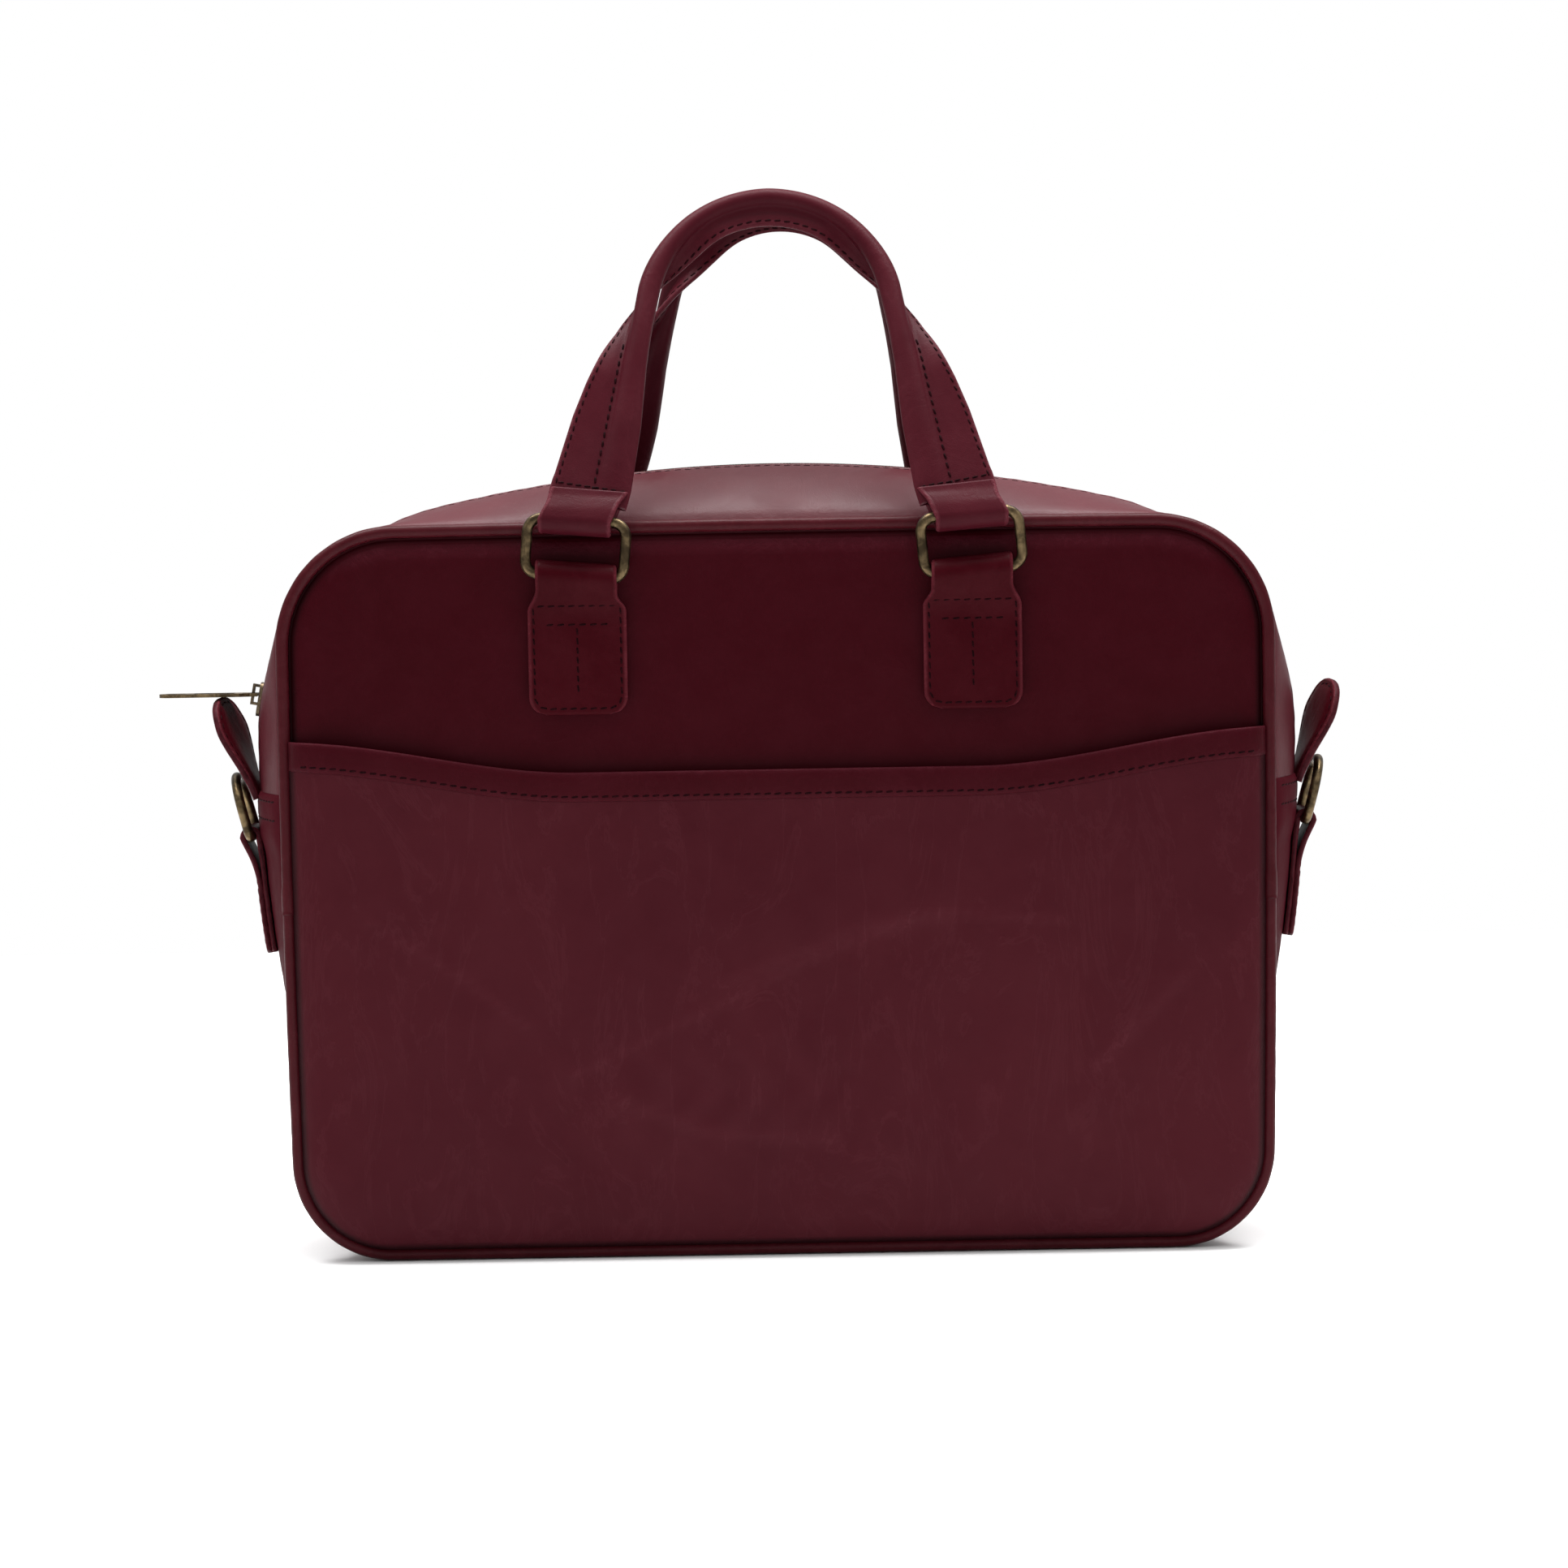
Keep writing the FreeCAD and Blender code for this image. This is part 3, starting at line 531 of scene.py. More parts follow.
def half_width_at(loop, z):
    """Half width of the loop at each height."""
    right, z, slack = loop[loop[:, 0] >= 0], z[:, None], 1e-6
    (ax, az), (bx, bz) = right[:-1].T, right[1:].T
    level = np.abs(bz - az) < 1e-9
    t = np.clip((z - az) / np.where(level, 1.0, bz - az), 0, 1)
    x = np.where(level, np.maximum(ax, bx), ax + t * (bx - ax))
    return np.where((np.minimum(az, bz) <= z + slack) & (np.maximum(az, bz) >= z - slack), x, 0).max(axis=1)


def mouth_height(x):
    """The pocket's curved mouth."""
    low, high = MOUTH
    return low + (high - low) * smooth(np.abs(x), 75.0, 185.0)


def dive(distance, depth, reach):
    """How far a padded face falls back towards its seam."""
    t = np.clip(1 - distance / reach, 0, 1)
    return depth * (1 - np.sqrt(np.maximum(1 - t ** 2, 0)))


def panel_face(x, z, gap):
    """Front of a padded panel: flat in the middle, falling to the seam, with slow waves."""
    swell = -1.1 * smooth(gap, 0, 60)
    return PANEL_FACE + swell + dive(gap, 4.2, 11.0) + 0.25 * wobble(x / 47, z / 39, 0.4) * smooth(gap, 4, 30)


def padded_panel(side):
    """The front or back panel: leather over foam."""
    loop = outline(SEAM, 4.6)
    low, high = loop[:, 1].min(), loop[:, 1].max()
    half = (high - low) / 2
    heights = low + half + spread(half) * half
    widths = half_width_at(loop, heights)
    x = widths * spread(widths.max())[:, None]
    z = np.broadcast_to(heights, x.shape)
    gap = distance_to(x, z, loop)
    # Painted highlight: a lighter band within 10 mm of the seam along the top; painted shade: darker within 4
    # mm of the seam all round.
    wear_and_light = 0.5 * smooth(-gap, -10, -5) * smooth(z, 255, 268) - smooth(-gap, -4.0, -1.6)
    build = Build()
    closed_sheet(build, xyz(x, panel_face(x, z, gap), z), xyz(x, PANEL_FACE + 2.4, z), wear_and_light)
    if side == "back":
        build = build.mirrored(1)
    piece = build.object(side + "_panel_leather", (BODY,), "bag", "body_leather", side + "_panel")


LONG_CREASES = (((-155, 130), (-120, 108), (-95, 88)), ((-78, 70), (10, 112), (55, 130), (105, 126)),
                ((-60, 60), (-30, 48), (20, 44)), ((118, 70), (140, 92), (152, 104)),
                ((-20, 104), (30, 124), (62, 128)))


def crease_field(x, z):
    """Soft creases of a used pocket: a few long ones and a patch of short ones."""
    total = np.zeros_like(x)
    for k, line in enumerate(LONG_CREASES):
        path = resample(line, 40)
        gap = np.sqrt(((x[..., None] - path[:, 0]) ** 2 + (z[..., None] - path[:, 1]) ** 2).min(-1))
        total += (1.0 if k == 1 else 0.8) * np.exp(-(gap / (1.6 + 0.4 * k)) ** 2)
    patch = np.exp(-(((x + 25) / 62) ** 2 + ((z - 62) / 26) ** 2))
    return total + 0.55 * patch * (0.5 + 0.5 * np.sin(x / 2.9 + 2.2 * np.sin(z / 6.0)))


def pocket_face(x, z, gap, top_gap):
    """Front of the pocket: proud of the panel, and falling to the seam's depth at its rim."""
    seam_depth = 42.6
    full = POCKET_FACE + 0.3 - smooth(gap, 4, 50) * smooth(top_gap, 0, 60)
    return full + dive(gap, -full - seam_depth, 13.0) + 0.3 * wobble(x / 52, z / 44, 1.9) * smooth(gap, 4, 30)


def pocket_panel():
    """The slip pocket's one layer, up to its curved mouth."""
    loop = outline(SEAM, 3.9)
    low = loop[:, 1].min()
    fine = spread(90, 1.0, 2.6)
    rows = np.concatenate([fine[:len(fine) // 2] + 1, np.linspace(1, 2, 36)]) / 2
    widths = half_width_at(loop, low + rows * (MOUTH[1] - low))
    x = widths * spread(widths.max(), 1.0, 2.6)[:, None]
    top = mouth_height(x)
    z = low + rows * (top - low)
    gap = distance_to(x, z, loop)
    creases = crease_field(x, z)
    y = pocket_face(x, z, gap, top - z) + 0.16 * creases * np.sin(x / 3.1 + z / 2.3)
    # Lighter along the creases, as wear; painted shade: darker within 3.4 mm of the seam round the rim.
    wear_and_light = np.clip(creases * 0.30, 0, 1) - smooth(-gap, -3.4, -1.4)
    build = Build()
    closed_sheet(build, xyz(x, y, z), xyz(x, np.minimum(y + 1.9, PANEL_FACE + 2.0), z), wear_and_light)
    build.object("pocket_front", (POCKET,), "bag", "pocket_leather", "front_pocket_panel")


# The hem's section, from behind over its round top and down its face: height over the mouth, depth, wear.
HEM_PROFILE = ((0.0, 2.2, 0.2), (0.6, 1.2, 0.5), (0.75, 0.2, 0.8), (0.45, -0.7, 0.7), (-0.1, -1.1, 0.35),
               (-0.8, -1.25, 0.1), (-3.0, -1.2, 0.05), (-5.4, -1.15, 0.05), (-7.4, -0.98, 0.15),
               (-8.6, -0.92, 0.25), (-9.6, -0.85, 0.25), (-10.2, -0.55, 0.35), (-10.4, 0, 0),
               (-10.2, 0.4, 0), (-6.0, 0.4, 0), (-1.2, 0.6, 0), (-1.0, 2.2, 0))


def pocket_hem():
    """The mouth's turned edge: a strip 10 mm high over the pocket, with a round top and one stitch row."""
    xs = spread(HEM_END, 1.2, 3.0) * HEM_END
    top = mouth_height(xs)
    gap = distance_to(xs, top - 4, outline(SEAM, 4.2))
    height, depth, wear_and_light = np.array(HEM_PROFILE).T
    z = top[:, None] + height
    y = pocket_face(xs[:, None], z, gap[:, None], 0 * z) + depth
    build = Build()
    build.add(xyz(xs[:, None], y, z), capped_faces(len(xs), len(depth), True), 0, np.tile(wear_and_light, len(xs)))
    row_z = top - 8.4
    line = xyz(xs, pocket_face(xs, row_z, gap, 0 * xs) - 0.95, row_z)
    stitch_row(build, line[3:-3], (0, -1, 0))
    build.object("pocket_hem_fold", (BODY, THREAD), "bag", "pocket_leather", "pocket_hem")


# ---- piping ----
def pipings():
    """Thin leather over a cord, in an upper and a lower length. The two overlap at each side."""
    loop = outline(SEAM, PIPE_RADIUS + 0.2, 3.0)
    loop = resample(np.concatenate([loop, loop[:1]]), 900)[:-1]
    for word, keep in (("upper", loop[:, 1] > PIPE_JOIN - 6.0), ("lower", loop[:, 1] <= PIPE_JOIN + 2.0)):
        index = np.where(keep)[0]
        if word == "lower":
            split = np.where(np.diff(index) > 1)[0][0] + 1
            index = np.concatenate([index[split:], index[:split]])
        run = np.arange(len(index))
        radius = PIPE_RADIUS * (1.0 + 0.012 * np.sin(run * 0.9) + 0.01 * np.sin(run * 0.37))
        if word == "upper":
            radius = radius + 0.32 * smooth(-np.minimum(run, run[-1] - run), -9, -6)
        build = Build()
        tube(build, at_depth(loop[index], PIPE_Y), radius, 14, wear=0.12)
        build.pair(1, "piping_{}_" + word + "_cover", (PIPING,), "bag", "piping_leather", "piping_{}_" + word)


# ---- gussets ----
def gusset_path(y, z_cut, upper, count):
    """Points and outward normals of the gusset's section at y, above or below z_cut."""
    loop = outline(blended(SEAM, MIDDLE, 1 - (y / HALF_DEPTH) ** 2), 0.0, 2.0)
    half = len(loop) // 2
    right = loop[:half + 1]
    z = right[:, 1]
    k = int(np.argmax(z > z_cut))
    t = (z_cut - z[k - 1]) / (z[k] - z[k - 1])
    cut = right[k - 1] + t * (right[k] - right[k - 1])
    part = np.concatenate([[cut], right[k:]]) if upper else np.concatenate([right[:k], [cut]])[::-1]
    side = resample(part, count // 2 + 1)
    whole = np.concatenate([side, side[::-1][1:] * [-1, 1]])
    left = left_of(unit(np.gradient(whole, axis=0)))
    return whole, -left if upper else left


def gusset_strip(build, ys, drops, z_cut, upper, count, wear=0.0):
    """A leather strip across the gusset. drops lowers the face at each y, as at a seam or a folded edge."""
    outer, inner = [], []
    for y, drop in zip(ys, drops):
        points, normal = gusset_path(y, z_cut, upper, count)
        run = np.arange(len(points))
        ripple = GUSSET_RIPPLE * (0.6 * np.sin(run * 0.9 + 0.5 * y) + 0.4 * np.sin(run * 0.41 - 0.3 * y))
        ripple = ripple * smooth(abs(y), HALF_DEPTH * 0.9, HALF_DEPTH * 0.4)
        outer.append(at_depth(points + normal * (ripple - drop)[:, None], y))
        inner.append(at_depth(points - normal * (GUSSET_THICK + max(0.0, float(np.max(drop)) * 0.6)), y))
    outer, inner = np.array(outer), np.array(inner)
    if not upper:
        outer, inner = outer[:, ::-1], inner[:, ::-1]
    closed_sheet(build, outer, inner, wear)
    return outer


def seam_drop(y):
    """The gusset turns in just before the piping."""
    return 1.9 * smooth(abs(y), HALF_DEPTH - 4.0, HALF_DEPTH + 0.6) ** 2


SEAM_ROWS = np.array([-0.4, 0.6, 1.8, 3.4]) - HALF_DEPTH
SEAM_WEAR = [0.0, 0.1, 0.1, 0.0]
# The top gusset's rows beside the zip: y, how far the face is lowered, wear. The second is the stitch row.
ZIP_ROWS = ((-9.6, 0.05, 0.05), (-9.0, 0.22, 0.0), (-8.4, 0.05, 0.1), (-7.6, -0.25, 0.45),
            (ZIP_EDGE - 0.5, -0.1, 0.6), (ZIP_EDGE - 0.15, 0.35, 0.4), (ZIP_EDGE, 1.1, 0.2))


def top_gusset():
    """The strip on each side of the zip."""
    zip_y, zip_drop, zip_wear = np.array(ZIP_ROWS).T
    plain = np.concatenate([SEAM_ROWS, np.linspace(-34, -12, 12), [-10.6]])
    drops = [seam_drop(y) for y in plain] + list(zip_drop)
    wear = np.concatenate([SEAM_WEAR, np.zeros(len(plain) - len(SEAM_ROWS)), zip_wear])[:, None]
    build = Build()
    face = gusset_strip(build, np.concatenate([plain, zip_y]), drops, JOIN_Z - 4, True, 420, wear)
    near = face[len(plain) + 1]
    normal = unit(np.cross(unit(np.gradient(near, axis=0)), [0, 1, 0]))
    middle = [0, 0, 150]
    normal = normal * np.sign((normal * (near - middle)).sum(1))[:, None]
    stitch_row(build, near[6:-6], normal[6:-6], sink=0.0)
    build.pair(1, "top_gusset_{}_strip", (GUSSET_PAINTED_LIGHTER, THREAD), "bag", "body_leather", "top_gusset_{}")


def lower_gusset():
    """One strip under the bag and up both sides, with its ends turned in and stitched twice."""
    count, rows = 480, (2.6, 9.6)
    ys = np.concatenate([SEAM_ROWS, np.linspace(-34, 34, 29), -SEAM_ROWS[::-1]])
    run = run_along(gusset_path(0.0, JOIN_Z, False, count)[0])
    end = np.minimum(run, run[-1] - run)
    lift = 1.5 * smooth(end, 0.0, 1.2) * smooth(-end, -26, -14) + 0.25 * smooth(-end, -1.6, -0.4)
    pressed = 0.3 * sum(np.exp(-((end - inset) / 0.7) ** 2) for inset in rows)
    drops = [seam_drop(y) - (lift - pressed) * smooth(-abs(y), -HALF_DEPTH, -HALF_DEPTH + 6) for y in ys]
    build = Build()
    outer = gusset_strip(build, ys, drops, JOIN_Z, False, count)
    for inset in rows:
        for step in (1, -1):
            line = outer[3:-3, ::step][:, int(np.argmin(np.abs(run - inset)))]
            stitch_row(build, line, (np.sign(line[0, 0]), 0, 0.02), sink=0.02)
    build.object("lower_gusset_strip", (SIDE_PAINTED_LIGHTER, THREAD), "bag", "body_leather", "lower_gusset")


# ---- zip ----
TAPE_ROWS = np.array([0.6, 0.8, 2.0, 4.0, 7.0, 10.0, 13.8])
TAPE_TOP, TAPE_UNDER = 2.1, 2.7
TOOTH_PITCH = 2.3
# A tooth's sections (distance from the bag's middle, half length along the zip), and the corners down one
# side of a section (depth under the leather's face, part of the half length).
TOOTH = ((-0.15, 0.62), (0.9, 0.78), (1.5, 0.55), (3.0, 0.5), (3.3, 0.3))
TOOTH_CORNERS = ((-0.25, 0.72), (-0.55, 1.0), (-1.5, 1.0), (-1.85, 0.72))


def zip_tape(side, sign):
    """A woven tape under the gusset's edge."""
    rows = [(y, *gusset_path(y, JOIN_Z + 2, True, 420)) for y in sorted(sign * TAPE_ROWS)]
    top, under = (np.array([at_depth(points - normal * inset, y) for y, points, normal in rows])
                  for inset in (TAPE_TOP, TAPE_UNDER))
    build = Build()
    closed_sheet(build, top, under)
    build.object(f"zip_tape_{side}", (TAPE,), "bag", "zip_tape", f"zipper_tape_{side}")


def zip_teeth(side, sign):
    """A row of metal teeth. The back row stands half a pitch on, so the two rows mesh."""
    line, normal = gusset_path(0.0, JOIN_Z + 4, True, 1200)
    run = run_along(line)
    shift = 0.0 if side == "front" else TOOTH_PITCH / 2
    at = np.arange(TOOTH_PITCH + shift, run[-1] - TOOTH_PITCH, TOOTH_PITCH)
    centre, out = at_run(at, run, line), unit(at_run(at, run, normal))
    corners = [(-part, depth) for depth, part in TOOTH_CORNERS]
    corners += [(part, depth) for depth, part in TOOTH_CORNERS[::-1]]
    local = np.array([(across, half * part, depth) for across, half in TOOTH for part, depth in corners])
    flat = centre[:, None] + left_of(out)[:, None] * local[:, 1, None] + out[:, None] * local[:, 2, None]
    faces = capped_faces(len(TOOTH), len(corners), side == "front")
    build = Build()
    build.add(at_depth(flat, sign * local[:, 0]), repeated(faces, len(local), len(at)))
    build.object(f"zip_teeth_{side}", (ZIP_METAL,), "bag", "zip_metal", f"zipper_chain_{side}",
                 smooth_faces=False)


# ---- straps: chapes, loops and tabs ----
def edge_columns(count):
    """Positions from -1 to 1, closer together near both ends."""
    even = np.linspace(-1, 1, count)
    return np.sign(even) * (1 - (1 - np.abs(even)) ** 1.35)


def round_foot(half, corner, rise):
    """Half width of a strap at each rise above its foot, whose corners are round."""
    rise = np.clip(rise, 0, corner)
    return half - corner + np.sqrt(np.maximum(corner ** 2 - (corner - rise) ** 2, 0))


def band(build, path, half_width, thickness, place, columns):
    """A leather band with rounded, painted edges. path holds (u, w) points of its middle line, with a half
    width and a thickness for each; place maps (across, u, w) to the bag's frame."""
    normal = left_of(unit(np.gradient(path, axis=0)))
    inner = edge_columns(columns)
    across = inner * half_width[:, None]
    gap = (1 - np.abs(inner)) * half_width[:, None]
    bulge = np.sqrt(1 - (1 - np.clip(gap / 1.1, 0, 1)) ** 2)
    lift = thickness[:, None] / 2 * (1 - EDGE_SOFT + EDGE_SOFT * bulge)
    top, under = (place(across, path[:, None, 0] + one * normal[:, None, 0],
                        path[:, None, 1] + one * normal[:, None, 1]) for one in (lift, -lift))
    closed_sheet(build, top, under, 0.7 * (np.abs(inner) > 0.93), 1)


def chape_width(z):
    """Half width of a handle chape at each height: round foot, wide tab, shoulder, neck."""
    neck = 15.2
    return (round_foot(CHAPE_HALF, 6.5, z - CHAPE_FOOT)
            + (neck - CHAPE_HALF) * smooth(z, CHAPE_FOOT + 38.5, CHAPE_FOOT + 46.0))


def chape_path():
    """Side view (y, z): up the front, round the ring's bar and down behind."""
    low = CHAPE_FOOT
    front = [(-49.0, low), (-49.1, low + 12), (-49.15, low + 26), (-49.3, low + 35), (-50.4, low + 41),
             (-52.6, low + 45.8)]
    turn = arc(LOWER_BAR[1:], 3.95, 195, -10, 10)
    back = [(-46.6, low + 43), (-46.7, low + 34), (-46.7, low + 20)]
    return curve_through(np.concatenate([front, turn, back]), 90)


def chape(side, word):
    """A handle chape: folded round the ring's lower bar, both ends sewn down with a border and a T."""
    path = chape_path()
    z, bar_z, low = path[:, 1], LOWER_BAR[2], CHAPE_FOOT
    centre = side * RING_X

    def place(across, u, w):
        """The ring is tilted, and the leather near its bar follows it."""
        tilt = side * math.tan(RING_TILT) * across * smooth(w, bar_z - 14, bar_z - 2)
        return xyz(centre + across, u, w + tilt)

    in_front = np.arange(len(path)) < len(path) * 0.62
    widths = np.where(in_front, chape_width(z), np.minimum(chape_width(np.maximum(z, low + 8)), 17.0))
    build = Build()
    band(build, path, widths, 2.3 + 1.1 * smooth(z, bar_z - 18, bar_z - 4), place, 25)
    inset, corner = 2.2, 5.0
    right = CHAPE_HALF - inset
    round_corner = arc((right - corner, low + inset + corner), corner, -90, 0, 7)
    half = np.concatenate([[(0, low + inset)], round_corner, [(right, low + 40.5)]])
    border = np.concatenate([half[::-1] * [-1, 1], half[1:]])
    for row in (border, [(-right + 1.0, low + 40.8), (right - 1.0, low + 40.8)],
                [(-12.2, low + 33.7), (12.2, low + 33.7)], [(0, low + 32.8), (0, low + 8.0)]):
        line = resample(row, 60)
        over_bar = 0.58 * smooth(line[:, 1], bar_z - 18, bar_z - 4)
        y = np.interp(line[:, 1], path[:40, 1], path[:40, 0]) - 1.17 - over_bar
        stitch_row(build, at_depth(line, y) + [centre, 0, 0], (0, -1, 0), 2)
    build.pair(1, "{}_chape_" + word + "_leather", (TAB, EDGE, THREAD), "bag", "tab_leather",
               "{}_chape_" + word)


def handle_place(x, v, q):
    """From the handle's own plane (v up along it, q towards the front) to the bag's frame."""
    c, s = math.cos(HANDLE_LEAN), math.sin(HANDLE_LEAN)
    y = UPPER_BAR[1] + v * s - q * c
    z = UPPER_BAR[2] + v * c + q * s
    return xyz(x, y, z)


def handle_loop(side, word):
    """The strap end that goes round the ring's upper bar."""
    front = [(1.9, 11.0), (2.1, 8.2), (2.9, 5.4), (3.7, 2.6)]
    turn = arc((0, -0.5), 3.9, 5, -185, 11)
    back = [(-q, v) for q, v in front[::-1]]
    path = curve_through(np.concatenate([front, turn, back]), 70)
    v = path[:, 1]

    def place(across, u, w):
        """Follows the tilted ring at its foot, and the slanted leg at its top."""
        slant = math.tan(RING_TILT) * smooth(-w, -11, 1) + LOOP_SLANT * smooth(w, 5, 11)
        middle = side * (RING_X - 0.6 - LOOP_LEAN * np.clip(w, -2, 30))
        return handle_place(middle + across, w + side * across * slant, u)

    leg_half = 14.4
    widths = LOOP_HALF + (leg_half - LOOP_HALF) * smooth(v, 3, 11)
    build = Build()
    band(build, path, widths, 2.9 - 0.9 * smooth(v, 5, 14), place, 19)
    build.pair(1, "{}_loop_" + word + "_leather", (HANDLE, EDGE), "{}_handle", "handle_leather",
               "{}_handle_loop_" + word)


# ---- handles ----
def handle_line(s):
    """Middle line of the handle and its outward normal in the handle's plane, s from its apex."""
    end = math.pi / 2 - HANDLE_SPLAY
    turn = np.minimum(np.abs(s) / HANDLE_ARC, end)
    beyond = np.maximum(np.abs(s) - HANDLE_ARC * end, 0)
    x = HANDLE_ARC * np.sin(turn) + beyond * math.sin(HANDLE_SPLAY)
    v = HANDLE_APEX - HANDLE_ARC + HANDLE_ARC * np.cos(turn) - beyond * math.cos(HANDLE_SPLAY)
    return np.sign(s) * x, v, np.sign(s) * np.sin(turn), np.cos(turn)


def handle_shape(s):
    """Half height and half thickness of the roll, length and turn of the flap, the roll's shift outwards."""
    d = np.abs(s)
    roll = np.interp(d, [0, 62, 80, 92, 116, 144], [3.8, 3.7, 4.2, 4.8, 6.0, 6.6])
    thick = np.interp(d, [0, 84, 115, 133, 146], [4.3, 4.2, 3.4, 2.4, 1.5])
    flap = np.interp(d, [0, 50, 70, 81, 92, 104, 118, 144], [7.6, 6.6, 5.6, 6.6, 9.0, 11.8, 14.2, 16.8])
    turn = math.pi * smooth(d, 20, 100)
    shift = np.interp(d, [0, 30, 62, 92, 116, 142], [1.7, 1.1, 0.0, -2.5, -5.6, -8.2])
    return roll, thick, flap, turn, shift


def handle_section(roll, thick, flap):
    """(p, q) points round a roll with a stitched flap; p runs along the flap."""
    half, tip = FLAP_HALF, roll + flap
    nose = arc((tip - half, 0), half, -90, 90, 7)
    start = math.asin(min(0.95, half / thick))
    along = np.linspace(tip - half, roll * math.cos(start) + 0.6, 8)[1:]
    pinch = np.stack([along, half - 0.3 * np.exp(-((along - roll - 1.6) / 0.9) ** 2)], axis=1)
    upper = np.concatenate([pinch, arc((0, 0), 1.0, math.degrees(start), 180, 14) * [roll, thick]])
    return np.concatenate([nose, upper, upper[::-1][1:] * [1, -1]])


def front_handle():
    """A strip folded round a cord: a roll and a flap, which turns from under the roll to outside it."""
    reach, sewn_end, cross_row = HANDLE_REACH, HANDLE_REACH - 2.5, HANDLE_REACH - 5.5
    stations = np.linspace(-reach, reach, 300)
    x, v, nx, nv = handle_line(stations)
    roll, thick, flap, turn, offset = handle_shape(stations)
    build = Build()

    def spot(k, p, q, end_in=0.0):
        """The section's point (p, q) at station k, in the bag's frame."""
        c, s = np.cos(turn[k]), np.sin(turn[k])
        out, front = -c * p - s * q + offset[k], (-s * p + c * q) * (1 - end_in)
        return handle_place(x[k] + nx[k] * out, v[k] + nv[k] * out, front)

    def sew(p, sign, low, side=0):
        """A stitch row at p along the flap, on one of its faces, from low to the foot of the legs."""
        k = np.where((np.abs(stations) >= low) & (np.abs(stations) <= sewn_end) & (side * stations >= 0))[0]
        points = spot(k, p[k], FLAP_HALF * sign)
        stitch_row(build, points, spot(k, p[k], (FLAP_HALF + 1) * sign) - points, pitch=HANDLE_PITCH)

    rings, wears = [], []
    for k, s in enumerate(stations):
        p, q = handle_section(roll[k], thick[k], flap[k]).T
        rings.append(spot(k, p, q, 0.08 * smooth(abs(s), reach - 1.2, reach)))
        tip = roll[k] + flap[k]
        wears.append(np.interp(p, [-roll[k], 0, tip - 1.6, tip], [0.12, 0.0, 0.0, 0.7]))
    build.add(np.array(rings), capped_faces(len(stations), len(rings[0])), 0, np.array(wears))

    for sign in (1, -1):
        sew(roll + flap - 1.9, sign, 0)
        for side in (-1, 1):
            sew(roll + 0.9, sign, 84, side)
    for side in (-1, 1):
        k = int(np.argmin(np.abs(stations - side * cross_row)))
        span = np.linspace(-roll[k] + 1.5, roll[k] + flap[k] - 2, 20)
        round_q = np.maximum(thick[k] * np.sqrt(np.clip(1 - (span / roll[k]) ** 2, 0, 1)), FLAP_HALF)
        at_x, at_v, at_nx, at_nv = handle_line(side * (cross_row + 0.1 * (span - span.mean())))
        out = span + offset[k]
        for sign in (1, -1):
            q = np.where(span < roll[k], round_q, FLAP_HALF) * sign
            normal = handle_place(0.0, 0.0, float(sign)) - handle_place(0.0, 0.0, 0.0)
            stitch_row(build, handle_place(at_x + at_nx * out, at_v + at_nv * out, q), normal, pitch=3.4)
    return build


def handle_cord():
    """The cord inside the roll, which ends where the legs flatten."""
    stations = np.linspace(-CORD_REACH, CORD_REACH, 120)
    x, v, nx, nv = handle_line(stations)
    _, thick, _, _, offset = handle_shape(stations)
    build = Build()
    path = handle_place(x + nx * offset, v + nv * offset, 0 * x)
    tube(build, path, np.minimum(2.4, thick - 1.4), 12, up=(0, 1, 0.3))
    return build


def sway(build):
    """The rear handle's left leg stands a little further right than the front one's."""
    foot = 12.0
    for verts in build.verts:
        height = np.clip((verts[:, 2] - UPPER_BAR[2] - foot) / (HANDLE_APEX - foot), 0, 1)
        verts[:, 0] += REAR_SWAY * height ** 0.4 * np.clip(0.5 - verts[:, 0] / 90, 0, 1)
        verts[:, 2] -= 1.5 * height


def handles():
    handle_cord().pair(1, "{}_handle_cord", (CORE,), "{}_handle", "cord_core", "{}_handle_core", sway)
    front_handle().pair(1, "{}_handle_leather", (HANDLE, THREAD), "{}_handle", "handle_leather",
                        "{}_handle_strap", sway)


# ---- side fittings ----
def side_x(height):
    """Where the bowed side of the bag lies at a height."""
    return MIDDLE["half_width"] - np.maximum(0.0, CORNER_Z - height) ** 2 / (2 * MIDDLE["side"]) - 0.35


def d_chape():
    """The strap that holds a D-ring, sewn to the side of the lower gusset."""
    z = D_BAR[2]
    low = box_mm("d_ring_chape_right")[0][2]
    front = [(side_x(low + h) + 3.1, low + h) for h in (0, 10, 20, 28)] + [(side_x(low + 36) + 4.6, low + 36)]
    turn = arc((D_BAR[0], z), 3.15, -15, 195, 10)
    back = [(side_x(low + h) + 1.1, low + h) for h in (36, 24, 12, 0.5)]
    path = curve_through(np.concatenate([front, turn, back]), 80)
    half, corner, inset = 11.6, 3.5, 2.0
    widths = round_foot(half, corner, path[:, 1] - low)
    build = Build()
    thickness = 2.0 + 0.2 * smooth(path[:, 1], z - 16, z - 3)
    band(build, path, widths, thickness, lambda across, u, w: xyz(u, across, w), 17)
    right, top = half - inset, low + 33
    border = [(-right, top), (-right, low + inset + 1), (-right + 1, low + inset), (right - 1, low + inset),
              (right, low + inset + 1), (right, top)]
    for row in (border, [(-right + 1, top), (right - 1, top)]):
        line = resample(row, 60)
        out = side_x(line[:, 1]) + 4.05 + 0.9 * (line[:, 1] > top - 0.5)
        stitch_row(build, xyz(out, line[:, 0], line[:, 1]), (1, 0, 0.05), 2)
    build.pair(0, "d_ring_chape_{}_leather", (TAB, EDGE, THREAD), "bag", "tab_leather", "d_ring_chape_{}")


